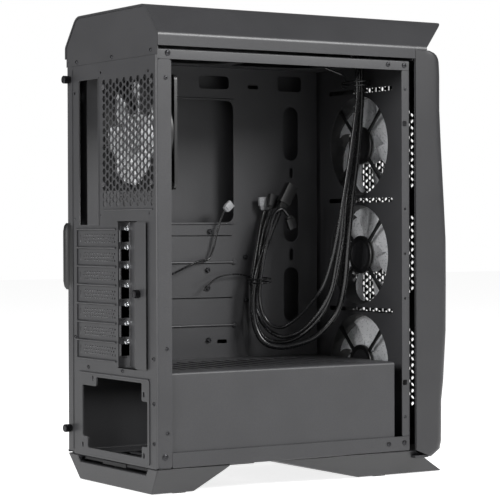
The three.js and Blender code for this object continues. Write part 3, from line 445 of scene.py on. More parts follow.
ROUTES = {
    "usb3": [
        (-30, -158, 496.5), (-30, -157, 491), (-28, -146, 485), (-26, -133, 478), (-24, -126, 462),
        (-24, -126, 429), (-22, -122, 368), (-20, -115, 311), (-16, -112, 259), (-8, -112, 211),
        (2, -108, 180), (14, -88, 154), (24, -68, 145), (33, -51, 142), (41, -35, 147), (48, -27, 164),
        (52, -26, 193), (52, -30, 222), (51, -38, 247), (49, -49, 275), (48, -60, 299)],
    "usb2": [
        (-8, -158, 496.5), (-8, -157, 491), (-10, -146, 485), (-13, -134, 477), (-14, -129, 462),
        (-14, -129, 430), (-13, -123, 369), (-11, -114, 307), (-8, -112, 265), (-4, -107, 235),
        (3, -103, 205), (14, -92, 174), (30, -72, 152), (40, -55, 147), (49, -39, 153), (56, -33, 173),
        (60, -34, 199), (60, -38, 228), (60, -42, 256), (59, -48, 282), (58, -55, 301)],
    "audio": [
        (19, -158, 496.5), (19, -157, 491), (8, -146, 489), (-12, -133, 484), (-31, -119, 474),
        (-38, -110, 456), (-38, -110, 428), (-37, -102, 368), (-34, -92, 306), (-30, -88, 274),
        (-24, -84, 243), (-14, -78, 212), (2, -70, 190), (16, -61, 174), (28, -51, 165), (37, -42, 167),
        (43, -35, 178), (44, -30, 198), (44, -32, 224), (43, -37, 252), (42, -43, 277), (41, -50, 297),
        (40, -59, 301), (40, -67, 294)],
    "switch": [
        (53, -158, 496.5), (53, -157, 491), (42, -146, 489), (14, -129, 484), (-18, -118, 478),
        (-28, -119, 462), (-28, -119, 429), (-27, -110, 368), (-25, -100, 306), (-22, -98, 270),
        (-17, -95, 239), (-10, -91, 205), (3, -78, 175), (18, -65, 158), (34, -52, 154), (51, -43, 164),
        (63, -38, 183), (68, -35, 207), (68, -39, 235), (68, -44, 261), (67, -48, 284), (66, -52, 299)],
    "rear_fan": [
        (10, 168, 318.5), (10, 167, 308), (14, 160, 287), (22, 140, 254), (31, 118, 234), (41, 98, 226),
        (52, 81, 228), (62, 58, 235), (67, 36, 242), (69, 23, 244), (70, 17, 254), (70, 13, 268),
        (69, 8, 286), (68, 3, 299)],
}
DIAMETERS = {"usb3": 7, "usb2": 5, "audio": 4, "switch": 5, "rear_fan": 2.4}
# Thickness, width and length of each plug with its boot, the boot's length, and the way it points.
PLUGS = {
    "usb3": ((9, 14, 33), 9, (-17, 29)),
    "usb2": ((6, 11, 16), 3, (-3, 15)),
    "audio": ((6, 11, 15), 3, (-6, -15)),
    "switch": ((4, 16, 15), 5, (1, 15)),
    "rear_fan": ((5, 9, 12), 3, (-8, 7)),
}


# %% Plugs
def posed(solids, end, toward):
    """Solids drawn along Z, turned about X to point along (0, dy, dz), moved to a lead's end."""
    dy, dz = np.array(toward, float) / math.hypot(*toward)
    made = []
    for points, faces in solids:
        moved = np.column_stack([points[:, 0], points[:, 1] * dz + points[:, 2] * dy,
                                 -points[:, 1] * dy + points[:, 2] * dz])
        made.append((moved + np.array(end) + 1.4 * np.array([0, dy, dz]), faces))
    return made


def plug_shell(size, boot, pins):
    """A moulded plug along Z: a tapered boot, a shell, and a front row of contact wells."""
    thick, wide, long = size
    shell = plate("Z", boot, long, rectangle(-thick / 2, thick / 2, -wide / 2, wide / 2, 0.7, 2))
    steps = np.linspace(0, 1, 5)
    sides = 16
    angles = np.arange(sides) * 2 * math.pi / sides
    reach = 0.28 + 0.14 * steps[:, None]
    flat = np.stack([thick * np.clip(1.25 * reach * np.cos(angles), -0.36, 0.36),
                     wide * np.clip(1.25 * reach * np.sin(angles), -0.36, 0.36)], -1).reshape(-1, 2)
    points = lifted(flat, "Z", np.repeat(steps * (boot + 0.5), sides))
    faces = [tuple(face) for face in grid_faces(5, sides, around=True)]
    faces += [tuple(range(sides))[::-1], tuple(range(4 * sides, 5 * sides))]
    ribs = [block(-thick * 0.42, thick * 0.42, -wide * 0.4, wide * 0.4, boot * k - 0.3, boot * k + 0.3)
            for k in (0.35, 0.6, 0.85)]
    rows = [block(x - 0.5, x + 0.5, y - 0.5, y + 0.5, long - 1, long + 0.15)
            for x in (-thick / 4, thick / 4) for y in (np.arange(pins) - (pins - 1) / 2) * wide / (pins + 0.6)]
    return [shell, outward(points, faces)] + ribs, rows


leads = {}
for key, points in ROUTES.items():
    route = smooth_route(points)
    data = bpy.data.curves.new(f"{key}_cord", "CURVE")
    data.dimensions = "3D"
    data.bevel_depth = DIAMETERS[key] / 2 * MM
    data.bevel_resolution = 4
    data.use_fill_caps = True
    line = data.splines.new("POLY")
    line.points.add(len(route) - 1)
    line.points.foreach_set("co", np.column_stack([route * MM, np.ones(len(route))]).ravel())
    data.materials.append(PVC)
    cord = bpy.data.objects.new(f"{key}_cord", data)
    bpy.context.scene.collection.objects.link(cord)
    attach(cord, "case")
    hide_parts(f"{key}_lead")
    size, boot, toward = PLUGS[key]
    shell, wells = plug_shell(size, boot, 5 if key in ("usb3", "usb2") else 3)
    shell_finish = BLACK if key in ("usb3", "audio", "usb2") else PALE_NYLON
    plug = piece(f"{key}_connector", posed(shell, points[-1], toward), shell_finish,
                 stands_for=f"{key}_plug")
    # Where the wells are black, the black is painted shade for the depth of the contact holes, drawn as blocks on
    # the plug's face.
    with_part(plug, posed(wells, points[-1], toward), ZINC if key == "usb3" else BLACK)
    leads[key] = cord

# %% [markdown]
# ## Rear panel
# The real panel is one stamping: a pierced grille behind the fan, the socket opening, seven slots, a
# pocket for the slot screws, the power supply opening and a flange bent round on the window side. The
# face is a plate with its holes, and the bend is a quarter turn between face and flange.

# %% Its openings
def hex_field(x0, x1, z0, z1, pitch=8.7, across=6.5):
    """Hexagons in upright columns: pitch apart up a column, columns pitch * cos 30 apart, every second
    one half a pitch higher, points towards +X and -X."""
    radius = across / math.sqrt(3)
    holes = []
    for column, x in enumerate(np.arange(x0 + radius, x1 - radius + 0.1, pitch * math.sqrt(3) / 2)):
        first = z0 + across / 2 + (column % 2) * pitch / 2
        holes += [ring(x, z, radius, 6) for z in np.arange(first, z1 - across / 2 + 0.1, pitch)]
    return holes


PSU_Z = FLOOR_Z + 6.3
PSU_X = LEFT + 21
PSU_HOLES = [(PSU_X + 6, PSU_Z + 6), (PSU_X + 144, PSU_Z + 6), (PSU_X + 6, PSU_Z + 70),
             (PSU_X + 120, PSU_Z + 80)]


def psu_outline():
    """The power supply opening: a rectangle notched round each screw, corners rounded by 2 mm."""
    low, high, base, top, notch = PSU_X - 1.5, PSU_X + 144.5, PSU_Z + 3.5, PSU_Z + 82, 12
    (_, _), (_, _), (_, upper), (right_x, right_z) = PSU_HOLES
    corners = [
        (low + notch, base), (high - notch, base), (high - notch, base + notch), (high, base + notch),
        (high, right_z - notch + 4), (right_x - notch + 4, right_z - notch + 4),
        (right_x - notch + 4, top), (low + notch, top), (low + notch, upper - 7), (low, upper - 7),
        (low, base + notch), (low + notch, base + notch)]
    return rounded([(u, v, 2.0) for u, v in corners])


def psu_slot(x, z):
    """Upright slot for a power supply screw, 3.4 mm wide and 6 mm tall."""
    return rectangle(x - 1.7, x + 1.7, z - 3, z + 3, 1.6, 3)


slot_holes = [rectangle(SLOT_START, SLOTS_X, z - 9.16, z + 9.16, 0.8, 2) for z in SLOT_MIDDLES]
pocket_hole = rectangle(POCKET_EDGE, POCKET_X, POCKET_LOW, POCKET_HIGH, 1.5, 3)
io_hole = rectangle(IO_X - 44.45, IO_X, IO_Z, IO_Z + 158.75, 0.8, 2)
grille_holes = hex_field(LEFT + 5, IO_X - 54, IO_Z + 19.5, IO_Z + 158)
small_holes = [ring(x, z, 1.8, 10) for x, z in (
    (51.7, 127.2), (-26.3, 127), (-94, 143.4), (-94, 96.8), (-94, 55.2), (82, 159), (82, 289.4),
    (82, 428.9), (21, 448), (-84, 443), (21.4, 293), (-85.8, 295.2))]

# %% Face, flange and walls
BEND = 2.5
face_x = LEFT + BEND
end_x = LIP_X - GAP
rear_solids = [
    plate("Y", back(SHEET), back(0), rectangle(face_x, end_x, FLOOR_Z + GAP, SEAM_Z), io_hole, pocket_hole,
          psu_outline(), *slot_holes, *grille_holes, *small_holes, *[psu_slot(x, z) for x, z in PSU_HOLES]),
    plate("X", LEFT, LEFT + SHEET, rectangle(back(18), back(BEND), FLOOR_Z + 1.3, TOP_Z - 11.3, 2.5, 4),
          *[ring(back(d), z, 1.7, 12) for d, z in ((11.3, 435.3), (11.9, 154.1), (12.5, 66.4))]),
    folded("Z", FLOOR_Z + 1.3, SEAM_Z, [(LEFT, back(BEND + 0.01), 0), (LEFT, back(0), BEND),
                                        (face_x + 0.01, back(0), 0)], -SHEET),
    folded("Z", FLOOR_Z + GAP, SEAM_Z, [(end_x - 0.01, back(0), 0), (end_x, back(0), 0),
                                        (end_x, back(3), 0.6), (RIGHT, back(3), 0)], -SHEET),
    block(POCKET_X, POCKET_X + SHEET, back(14.3), back(1), POCKET_LOW, POCKET_HIGH),
    block(POCKET_EDGE, POCKET_X + SHEET, back(14.3), back(0), POCKET_LOW - SHEET, POCKET_LOW),
    block(POCKET_EDGE, POCKET_X + SHEET, back(14.3), back(0), POCKET_HIGH, POCKET_HIGH + SHEET),
]
# The lip pressed up between two slots, and round the grille, socket opening and power supply.
for z in list(SLOT_MIDDLES + SLOT_PITCH / 2) + [SLOTS_Z]:
    rear_solids.append(turned("X", back(-0.1), z, [(1.2, SLOT_START + 1), (1.2, SLOTS_X - 1)], 10))
psu_rim = rectangle(-85.6, 73, FLOOR_Z + 3, 121.3, 3)
rear_solids.append(plate("Y", back(0), back(-0.9), psu_rim, psu_outline(),
                         *[psu_slot(x, z) for x, z in PSU_HOLES]))
rear_solids.append(turned("X", back(-0.1), IO_Z + 16, [(1.0, LEFT + 8), (1.0, IO_X - 58)], 10))
rear_solids.append(turned("X", back(-0.6), 121.3, [(1.1, -84), (1.1, 71)], 10))
io_rim = rectangle(IO_X - 46.5, IO_X + 2, IO_Z - 2, IO_Z + 160.8, 2)
rear_solids.append(plate("Y", back(0.2), back(-0.4), io_rim, io_hole))
piece("rear_panel_sheet", rear_solids, COAT, stands_for="rear_panel", smooth=35)

# %% [markdown]
# ## Slot covers, their screws and the guard
# Each slot is closed by a pierced strip with a bent tab, held by one bright screw in the pocket. A small
# ramp of sheet with a thumbscrew hides the screws from outside.

# %% Slot covers
TAB_X = POCKET_X - GAP - SHEET
cover_y = back(SHEET + GAP)
for i, z in enumerate(SLOT_MIDDLES):
    half = SLOT_PITCH / 2 - 1 - GAP
    holes = [ring(x + (row % 2) * 2.85, z + (row - 1) * 3.7, 1.25, 8)
             for row in range(3) for x in np.arange(SLOT_START + 6, SLOTS_X - 13, 5.7)]
    holes.append(rectangle(SLOTS_X - 7, SLOTS_X - 5.4, z - 4, z + 4, 0.7, 2))
    strip = plate("Y", cover_y - SHEET, cover_y,
                  rectangle(POCKET_X + SHEET + GAP, SLOTS_X + 3.5, z - half, z + half), *holes)
    neck = folded("Z", z - half + 5, z + half, [
        (POCKET_X + SHEET + 1, cover_y - SHEET, 0), (TAB_X + SHEET, cover_y - SHEET, 1.2),
        (TAB_X + SHEET, cover_y - 11.6, 0)], -SHEET)
    tab = plate("X", TAB_X, TAB_X + SHEET, rectangle(cover_y - 11.6, cover_y - 1.5, z - half + 4,
                                                    z + half + 4.6, 1.5, 3))
    piece(f"slot_blank_{i + 1}", [strip, neck, tab], COAT, stands_for=f"slot_cover_{i + 1}")
    screw_y, screw_z = back(9.3), z + 10.7
    head = turned("X", screw_y, screw_z, [
        (3.0, TAB_X - GAP), (3.0, TAB_X - 1.1), (2.6, TAB_X - 1.8), (1.7, TAB_X - 2.3),
        (1.0, TAB_X - 2.4), (0.4, TAB_X - 1.7)], 20)
    piece(f"slot_screw_head_{i + 1}", [head], ZINC, stands_for=f"slot_screw_{i + 1}")

# %% Guard
guard_low, guard_high = POCKET_LOW + GAP, POCKET_HIGH - GAP
foot = POCKET_X - 6
ramp = folded("Z", guard_low, guard_high, [
    (POCKET_EDGE - 0.01, back(-GAP - SHEET), 0), (POCKET_EDGE, back(-GAP - SHEET), 0.6),
    (foot, back(11.6), 0)], -SHEET)
guard_x, guard_z = POCKET_EDGE - 8, (SLOTS_Z + SLOTS_TOP) / 2 + 3
flange = plate("Y", back(-GAP), back(-GAP - SHEET),
               rectangle(POCKET_EDGE - 17, POCKET_EDGE, guard_low, guard_high, 2.5),
               ring(guard_x, guard_z, 2.2, 12))
piece("slot_guard_sheet", [ramp, flange], COAT, stands_for="slot_guard", bevel=0.25)


# %% Thumbscrews
def thumbscrew(x, z, face):
    """Knurled head along +Y from the face it bears on: collar, 30 teeth, chamfers and a driver slot."""
    head, tip = 4.35, back(-9.5)
    body = turned("Y", x, z, [
        (3.4, face), (3.4, face + 1.0), (head - 0.5, face + 1.1, 0), (head, face + 1.7, 1),
        (head, tip - 0.8, 1), (head - 0.7, tip - 0.1, 0), (head - 1.4, tip, 0), (head - 1.7, tip - 0.7, 0)],
        60, 0.09, 30)
    slot_bars = [block(x - 2.2, x + 2.2, tip - 0.8, tip - 0.35, z + s * 1.3 - 0.7, z + s * 1.3 + 0.7)
                 for s in (-1, 1)]
    return [body] + slot_bars


piece("guard_thumbscrew_head", thumbscrew(guard_x, guard_z, back(-GAP - SHEET) + GAP), BLACK_ZINC,
      stands_for="guard_thumbscrew")
screw_x = LIP_X + 6.5
for place, z in (("upper", TOP_Z - 21), ("lower", FLOOR_Z + 28)):
    piece(f"side_thumbscrew_{place}", thumbscrew(screw_x, z, back(0) + GAP), BLACK_ZINC, "side_panel",
          f"panel_thumbscrew_{place}")

# %% [markdown]
# ## Side panel
# The steel side behind the tray is a shallow pan. Only its rear lip and its moulded finger pull show from
# behind; from the other side it is the whole view, so its edges are rounded like pressed sheet.

# %% Pan and finger pull
pan_low, pan_high = FLOOR_Z + 1, TOP_Z - 1
pan_front = back(329)
grip_low, grip_high = SLOTS_Z + 74, SLOTS_Z + 150
pan = [
    plate("X", PANEL_X - SHEET, PANEL_X, rectangle(pan_front + 2, back(2), pan_low + 2, pan_high - 2)),
    folded("Z", pan_low + 2, SEAM_Z, [(LIP_X, back(0), 0), (PANEL_X, back(0), 2), (PANEL_X, back(2.01), 0)],
           -SHEET),
    plate("Y", back(0.3), back(-0.5), rectangle(LIP_X + 1.2, LIP_X + 6.2, pan_low + 4, SEAM_Z - 4, 0.8, 2)),
    folded("Z", pan_low, pan_high, [(RIGHT + GAP, pan_front, 0), (PANEL_X, pan_front, 2),
                                    (PANEL_X, pan_front + 2.01, 0)], SHEET),
]
for z, turn_side in ((pan_low, 1), (pan_high, -1)):
    pan.append(folded("Y", pan_front, back(0), [(RIGHT + GAP, z, 0), (PANEL_X, z, 2),
                                                (PANEL_X, z + turn_side * 2.01, 0)], turn_side * SHEET))
piece("steel_side_panel", pan, COAT, "side_panel", "right_side_panel")
rows = np.linspace(0, 1, 13)
across = LIP_X + 1 + rows * (PANEL_X + 2.2 - LIP_X - 1)
bulge = 0.4 + 3.6 * rows ** 1.5 - 1.6 * np.exp(-((rows - 0.62) / 0.16) ** 2)
heights = np.array([grip_low + 1, grip_low + 4, grip_low + 10, grip_high - 10, grip_high - 4, grip_high - 1])
ease = np.array([0.1, 0.7, 1, 1, 0.7, 0.1])
grip = np.stack([np.broadcast_to(across, (6, 13)), back(-ease[:, None] * bulge[None, :]),
                 np.broadcast_to(heights[:, None], (6, 13))], -1).reshape(-1, 3)
inner_grip = grip.copy()
inner_grip[:, 1] = back(6)
# The pull wears the black finish as painted shade: the black stands for the shade deep in its scoop.
piece("finger_pull", [between(grip, inner_grip, grid_faces(6, 13))], BLACK, "side_panel",
      bevel=0.4)

# %% [markdown]
# ## Chassis top, floor and front plate
# Folded plate again: each has a rail or column bent down at the window, with small screws and holes.

# %% Small screws
def button_head(axis, u, v, level, way, radius=2.2):
    """Low domed screw head with a socket, standing on a face in the given way."""
    return turned(axis, u, v, [
        (radius, level), (radius, level + way * 0.5), (radius * 0.75, level + way * 1.1),
        (radius * 0.45, level + way * 1.25), (radius * 0.35, level + way * 0.6)], 16)


screws = [button_head("X", back(d), z, LEFT, -1, r) for d, z, r in (
    (13.8, 461.0, 3.2), (296, 460.6, 2.8), (318.1, 460.4, 3.0), (9.6, 41.6, 3.4), (296.1, 37.8, 2.8),
    (317.6, 38.4, 2.9), (319.4, 434.1, 1.6), (318.8, 67.4, 1.6), (11.9, 154.1, 2.0), (11.3, 435.3, 2.2),
    (12.5, 66.4, 2.0))]
screws += [button_head("Y", x, z, back(0), 1) for x, z in (
    (51.7, 127.2), (-26.3, 127), (-94, 143.4), (-94, 96.8), (-94, 55.2), (82, 159))]
screws += [button_head("Y", x, z, back(0.6), 1) for x, z in ((78.5, 463.4), (-3.3, 463.3), (-88.6, 464.5))]
piece("chassis_screws", screws, BLACK_ZINC)

# %% Top and floor
front_in = back(326 - SHEET - GAP)
top_holes = [rectangle(FAN_X - 56, FAN_X + 56, back(y + 112), back(y), 20) for y in (45, 177)]
top_holes.append(rectangle(FAN_X - 42, FAN_X + 12, back(324), back(294), 4))
top_bend = [(LEFT, TOP_Z - 11, 0), (LEFT, TOP_Z, 2), (LEFT + 2.01, TOP_Z, 0)]
piece("chassis_top_sheet", [
    plate("Z", TOP_Z - SHEET, TOP_Z, rectangle(LEFT + 2, RIGHT, front_in, back(2)), *top_holes),
    folded("Y", front_in, back(1.3), top_bend, -SHEET),
], COAT, stands_for="chassis_top")
vents = []
for d in range(24, 126, 18):
    for x0, x1 in ((LEFT + 24, FAN_X - 4), (FAN_X + 4, RIGHT - 24)):
        vents.append(rectangle(x0, x1, back(d + 11), back(d), 5))
floor_bend = [(LEFT, FLOOR_Z + 16.6, 0), (LEFT, FLOOR_Z, 2), (LEFT + 2.01, FLOOR_Z, 0)]
piece("chassis_floor_sheet", [
    plate("Z", FLOOR_Z, FLOOR_Z + SHEET, rectangle(LEFT + 2, RIGHT, front_in, back(3.3)), *vents),
    folded("Y", front_in, back(18.3), floor_bend, SHEET),
], COAT, stands_for="chassis_floor")

# %% Front plate
FRONT_FANS = [(TOP_Z + FLOOR_Z) / 2 + 0.5 + step * 126.5 for step in (1, 0, -1)]
front_y = back(326)


gaps = [rectangle(FAN_X - 66, FAN_X + 60, z + 60.5, z + 65.5, 1.5, 2) for z in FRONT_FANS]
column_holes = [rectangle(back(321.5), back(315.7), z - 3, z + 3, 1.2, 2) for z in (395.4, 106)]
column_holes += [ring(back(319), z, 1.6, 10) for z in (434.1, 300, 250, 200, 67.4)]
piece("front_plate_sheet", [
    plate("Y", front_y, front_y + SHEET, rectangle(LEFT + 2, RIGHT, FLOOR_Z + 1.3, TOP_Z - 1.3),
          *[ring(FAN_X, z, 57.5, 64) for z in FRONT_FANS], *gaps),
    plate("X", LEFT, LEFT + SHEET, rectangle(front_y + 2, front_y + 11.3, FLOOR_Z + 17, TOP_Z - 11.3, 1.5, 3),
          *column_holes),
    folded("Z", FLOOR_Z + 17, TOP_Z - 11.3, [(LEFT, front_y + 2.01, 0), (LEFT, front_y, 2),
                                             (LEFT + 2.01, front_y, 0)], SHEET),
], COAT, stands_for="chassis_front")

# %% [markdown]
# ## Motherboard tray and shroud
# The tray is pierced for cables and for the processor's back plate, with pressed ribs and black zinc
# standoffs. The shroud's near edge is a broad soft bend that catches the light.

# %% Tray
tray_holes = [rectangle(back(d1), back(d0), z0, z1, r) for d0, d1, z0, z1, r in (
    (58, 203, 285.9, 426.9, 9), (156, 197, 439.9, 454.9, 5), (264, 297, 439.9, 457.9, 4),
    (272, 293, 358.9, 421.9, 10), (272, 293, 262.9, 323.9, 10), (272, 293, 168.9, 232.9, 10),
    (280.5, 285.5, 337.9, 349.9, 2), (280.5, 285.5, 240.9, 254.9, 2),
    (223, 237, 441.4, 445.9, 1.5), (180, 193, 145.9, 150.4, 1.5))]
tray_holes += [rectangle(back(200), back(22), z - 0.6, z + 0.6, 0.5, 2) for z in (270.5, 198.7)]
tray = [
    plate("X", TRAY_X, TRAY_X + SHEET,
          rectangle(back(319.5), back(13), SHROUD_Z - 1, TOP_Z - 1.3, 2), *tray_holes),
    block(TRAY_X, RIGHT, back(13), back(12), SHROUD_Z - 1, TOP_Z - 1.3),
]
for z in (239.7, 167.0):
    tray.append(turned("Y", TRAY_X - 0.6, z, [(0.2, back(204)), (1.4, back(202)), (1.4, back(19)),
                                              (0.2, back(17))], 12))
    tray += [turned("X", back(d), z, [(3.6, TRAY_X), (3.2, TRAY_X - 1.2), (1.6, TRAY_X - 2.2)], 20)
             for d in (203, 18)]
for z in (428.5, 284.2):
    tray.append(turned("Y", TRAY_X - 0.2, z, [(0.2, back(204)), (1.0, back(200)), (1.0, back(60)),
                                              (0.2, back(56))], 12))
piece("tray_sheet", tray, COAT, stands_for="motherboard_tray")
studs = [turned("X", back(d), z, [(2.9, TRAY_X), (2.9, TRAY_X - 2.6), (2.2, TRAY_X - 3.4),
                                  (1.2, TRAY_X - 3.4), (1.2, TRAY_X - 2.4)], 6 * 3)
         for d, z in ((170, 275.4), (167, 231), (167, 210.3), (218.5, 245.5), (219.4, 195.3), (168, 150.3))]
piece("board_standoffs", studs, BLACK_ZINC)

# %% Shroud
shroud_x0 = LEFT + 2.5
shroud_front, shroud_rear = back(305.5), back(17.3)
R_SHROUD = 3.5
shroud_vents = []
for d in range(30, 260, 16):
    shroud_vents.append(rectangle(LEFT + 30, FAN_X + 38, back(d + 8), back(d), 3.5, 3))
tray_cut = TRAY_X - GAP
shroud_top = np.array([(shroud_x0 + R_SHROUD, shroud_front), (tray_cut, shroud_front),
                       (tray_cut, shroud_rear), (shroud_x0 + R_SHROUD, shroud_rear)])
piece("shroud_sheet", [
    plate("Z", SHROUD_Z - SHEET, SHROUD_Z, shroud_top, *shroud_vents),
    folded("Y", shroud_front, shroud_rear, [
        (shroud_x0, FLOOR_Z + 1.3, 0), (shroud_x0, SHROUD_Z, R_SHROUD),
        (shroud_x0 + R_SHROUD + 0.01, SHROUD_Z, 0)], -SHEET),
    block(shroud_x0 + 1, tray_cut, shroud_front, shroud_front + SHEET, SHROUD_Z - 30, SHROUD_Z - SHEET),
    block(TRAY_X + 1.3, RIGHT - GAP, shroud_front, shroud_rear - 8, SHROUD_Z - SHEET, SHROUD_Z),
], COAT, stands_for="psu_shroud")

# %% Power supply bay
bay = [
    folded("Y", back(150), back(20), [(PSU_X + 2, PSU_Z - 0.3, 0), (PSU_X + 2, PSU_Z - 5, 0.8),
                                      (PSU_X + 14, PSU_Z - 5, 0)], SHEET),
    folded("Y", back(150), back(20), [(PSU_X + 146, PSU_Z - 0.3, 0), (PSU_X + 146, PSU_Z - 5, 0.8),
                                      (PSU_X + 134, PSU_Z - 5, 0)], -SHEET),
    folded("X", PSU_X + 40, PSU_X + 96, [(back(168), FLOOR_Z + 1.3, 0), (back(168), FLOOR_Z + 22, 1.5),
                                         (back(186), FLOOR_Z + 22, 1.5), (back(186), FLOOR_Z + 34, 0)], SHEET),
    block(PSU_X + 10, PSU_X + 140, back(164), back(162), FLOOR_Z + 40, FLOOR_Z + 43),
    block(PSU_X + 10, PSU_X + 12, back(164), back(162), FLOOR_Z + 1.3, FLOOR_Z + 40),
    block(PSU_X + 138, PSU_X + 140, back(164), back(162), FLOOR_Z + 1.3, FLOOR_Z + 40),
]
piece("power_supply_bracket", bay, COAT, bevel=0.2)

# %% [markdown]
# ## Top cover
# One moulding, 2.4 mm thick: upright edges, a bend, a wide slanted face and a flat top, cut back at the
# front from the top edge down to the bend. The outside is a profile across the case carried from front to
# back, whose front end depends on the height, and the inside is the same grid moved in by the wall.

# %% Cover grid
def cover_line():
    """Half profile (x, z) from the window edge over the top to the other edge, bends of 7 and 18 mm."""
    base, flat = TOP_Z + 2.5, HALF - 26.5
    return rounded([(-HALF, base, 0), (-HALF, BEND_Z - 3, 0), (-HALF, BEND_Z, 7), (-flat, COVER_Z, 18),
                    (flat, COVER_Z, 18), (HALF, BEND_Z, 7), (HALF, BEND_Z - 3, 0), (HALF, base, 0)],
                   closed=False, step=0.1)


def cover_front(z):
    """How far the cover reaches forward at a height: straight from the bend to the top edge."""
    sloped = np.interp(z, [BEND_Z, COVER_Z - 1], [back(347), FRONT_Y])
    return np.where(z < BEND_Z - 3.01, back(330.7), np.where(z < BEND_Z, back(347), sloped))


STRIP_X = (-44.0, 70.0)
SOCKET_Y = back(352)
line = cover_line()
flat_x = np.array([FAN_X - 62, STRIP_X[0], FAN_X + 62, STRIP_X[1]])
flat_x = np.sort(np.append(flat_x, [-20, 20]))
middle = len(line) // 2
line = np.vstack([line[:middle], np.column_stack([flat_x, np.full(len(flat_x), COVER_Z)]), line[middle:]])
# The lowest straight part ends further back than the bend, so its top corner is there twice.
line_in = offset(line, -SHELL)
stations = np.array([back(0), back(14), back(28), back(166), back(305), back(330.7), SOCKET_Y + 9,
                     SOCKET_Y - 9, (SOCKET_Y - 9 + FRONT_Y) / 2, FRONT_Y])
y_last = back(330.7)


def cover_sheet(profile, heights):
    """Grid of the cover: stations beyond the upright edge's end are scaled to the height's own front."""
    reach = (cover_front(heights) - y_last) / (FRONT_Y - y_last)
    y = np.where(stations[:, None] < y_last, y_last + (stations[:, None] - y_last) * reach[None, :],
                 stations[:, None])
    return np.stack([np.broadcast_to(profile[:, 0], y.shape), y,
                     np.broadcast_to(profile[:, 1], y.shape)], -1).reshape(-1, 3)


outer = cover_sheet(line, line[:, 1])
inner = cover_sheet(line_in, line[:, 1])
rows, columns = len(stations), len(line)
mid_x = (line[:-1, 0] + line[1:, 0]) / 2
mid_z = (line[:-1, 1] + line[1:, 1]) / 2
mid_y = (stations[:-1] + stations[1:]) / 2
keep = np.ones((rows - 1, columns - 1), bool)
keep &= ~((mid_y[:, None] < y_last) & (mid_z < BEND_Z - 3)[None, :])
on_top = (mid_z > COVER_Z - 0.1)[None, :]
keep &= ~(on_top & (np.abs(mid_x - FAN_X) < 62)[None, :] & ((mid_y > back(305)) & (mid_y < back(28)))[:, None])
keep &= ~(on_top & ((mid_x > STRIP_X[0]) & (mid_x < STRIP_X[1]))[None, :]
          & (np.abs(mid_y - SOCKET_Y) < 9)[:, None])
# The front end is closed by a wall along the slope, and by an upright one down to the chassis.
slope = offset(cover_line(), -SHELL - 0.05)
slope = slope[slope[:, 1] > BEND_Z - 2]
wall, wall_faces = fill([slope])
wall_y = cover_front(wall[:, 1]) + 1.5
slope_low = np.column_stack([wall[:, 0], wall_y, wall[:, 1]])
front_walls = [between(slope_low, slope_low + np.array([0, SHELL, 0]), wall_faces),
               plate("Y", back(329.5), back(328), rectangle(-HALF + 3, HALF - 3, TOP_Z + 0.3, BEND_Z - 2.5))]
piece("moulded_top_cover", [between(outer, inner, grid_faces(rows, columns, keep))] + front_walls,
      ABS_COVER,
      stands_for="top_cover", bevel=0.5, smooth=35)

# %% Rear end of the cover
trim = offset(cover_line(), -SHELL - GAP)
trim[:, 1] = np.where(trim[:, 1] < TOP_Z + 4, SEAM_Z + GAP, trim[:, 1])
end_plate = [plate("Y", back(1.6), back(0.6), trim)]
piece("upper_rear_sheet", end_plate, COAT, stands_for="rear_upper_plate", bevel=0.3)

# %% [markdown]
# ## Nets, sockets and buttons on top
# The top opening is closed by a net in a frame. In front of it a strip holds the sockets and two buttons.

# %% Nets
def net_bars(x0, x1, y0, y1, z, pitch, wire):
    """Two layers of thin wires, crossing at the pitch."""
    bars = [block(x - wire / 2, x + wire / 2, y0, y1, z, z + wire)
            for x in np.arange(x0 + pitch / 2, x1, pitch)]
    return bars + [block(x0, x1, y - wire / 2, y + wire / 2, z + wire * 0.6, z + wire * 1.6)
                   for y in np.arange(y0 + pitch / 2, y1, pitch)]


edge = rectangle(FAN_X - 61.7, FAN_X + 61.7, back(304.7), back(28.3), 5)
windows = [rectangle(a, b, back(d + 132), back(d), 3) for a, b in ((FAN_X - 57, FAN_X - 2), (FAN_X + 2, FAN_X + 57))
           for d in (33, 168)]
net = [plate("Z", COVER_Z - 2, COVER_Z - 0.6, edge, *windows)]
net += net_bars(FAN_X - 60, FAN_X + 60, back(303), back(30), COVER_Z - 2.6, 2.4, 1.0)
piece("top_net", net, NYLON, stands_for="top_filter")

# %% Socket strip
SOCKETS = {"usb3": -30, "usb2": -8, "mic": 12, "phones": 26, "reset": 44, "power": 62}
top = COVER_Z - 0.2
holes = [rectangle(SOCKETS[key] - 6.7, SOCKETS[key] + 6.7, SOCKET_Y - 3, SOCKET_Y + 3, 0.4, 2)
         for key in ("usb3", "usb2")]
holes += [ring(SOCKETS[key], SOCKET_Y, 2.2, 24) for key in ("mic", "phones")]
holes += [ring(SOCKETS["power"], SOCKET_Y, 6.8, 40), ring(SOCKETS["reset"], SOCKET_Y, 3.3, 24)]
strip_edge = rectangle(STRIP_X[0] + GAP, STRIP_X[1] - GAP, SOCKET_Y - 8.7, SOCKET_Y + 8.7, 2)
strip = [plate("Z", COVER_Z - 16, top, strip_edge, *holes)]
for key in ("usb3", "usb2"):
    x = SOCKETS[key]
    shell = rectangle(x - 6.5, x + 6.5, SOCKET_Y - 2.8, SOCKET_Y + 2.8, 0.4, 2)
    strip.append(plate("Z", COVER_Z - 15.9, COVER_Z - 12, shell))
piece("socket_panel", strip, BLACK, stands_for="socket_strip", bevel=0.3)
metal = []
for key in ("usb3", "usb2"):
    x = SOCKETS[key]
    shell = rectangle(x - 6.5, x + 6.5, SOCKET_Y - 2.8, SOCKET_Y + 2.8, 0.4, 2)
    metal.append(plate("Z", COVER_Z - 12, top - 0.3, shell, offset(shell, 0.4, closed=True)))
    metal += [block(x + k * 2 - 0.5, x + k * 2 + 0.5, SOCKET_Y - 0.2, SOCKET_Y + 0.1, COVER_Z - 11, top - 1.4)
              for k in (-1.5, -0.5, 0.5, 1.5)]
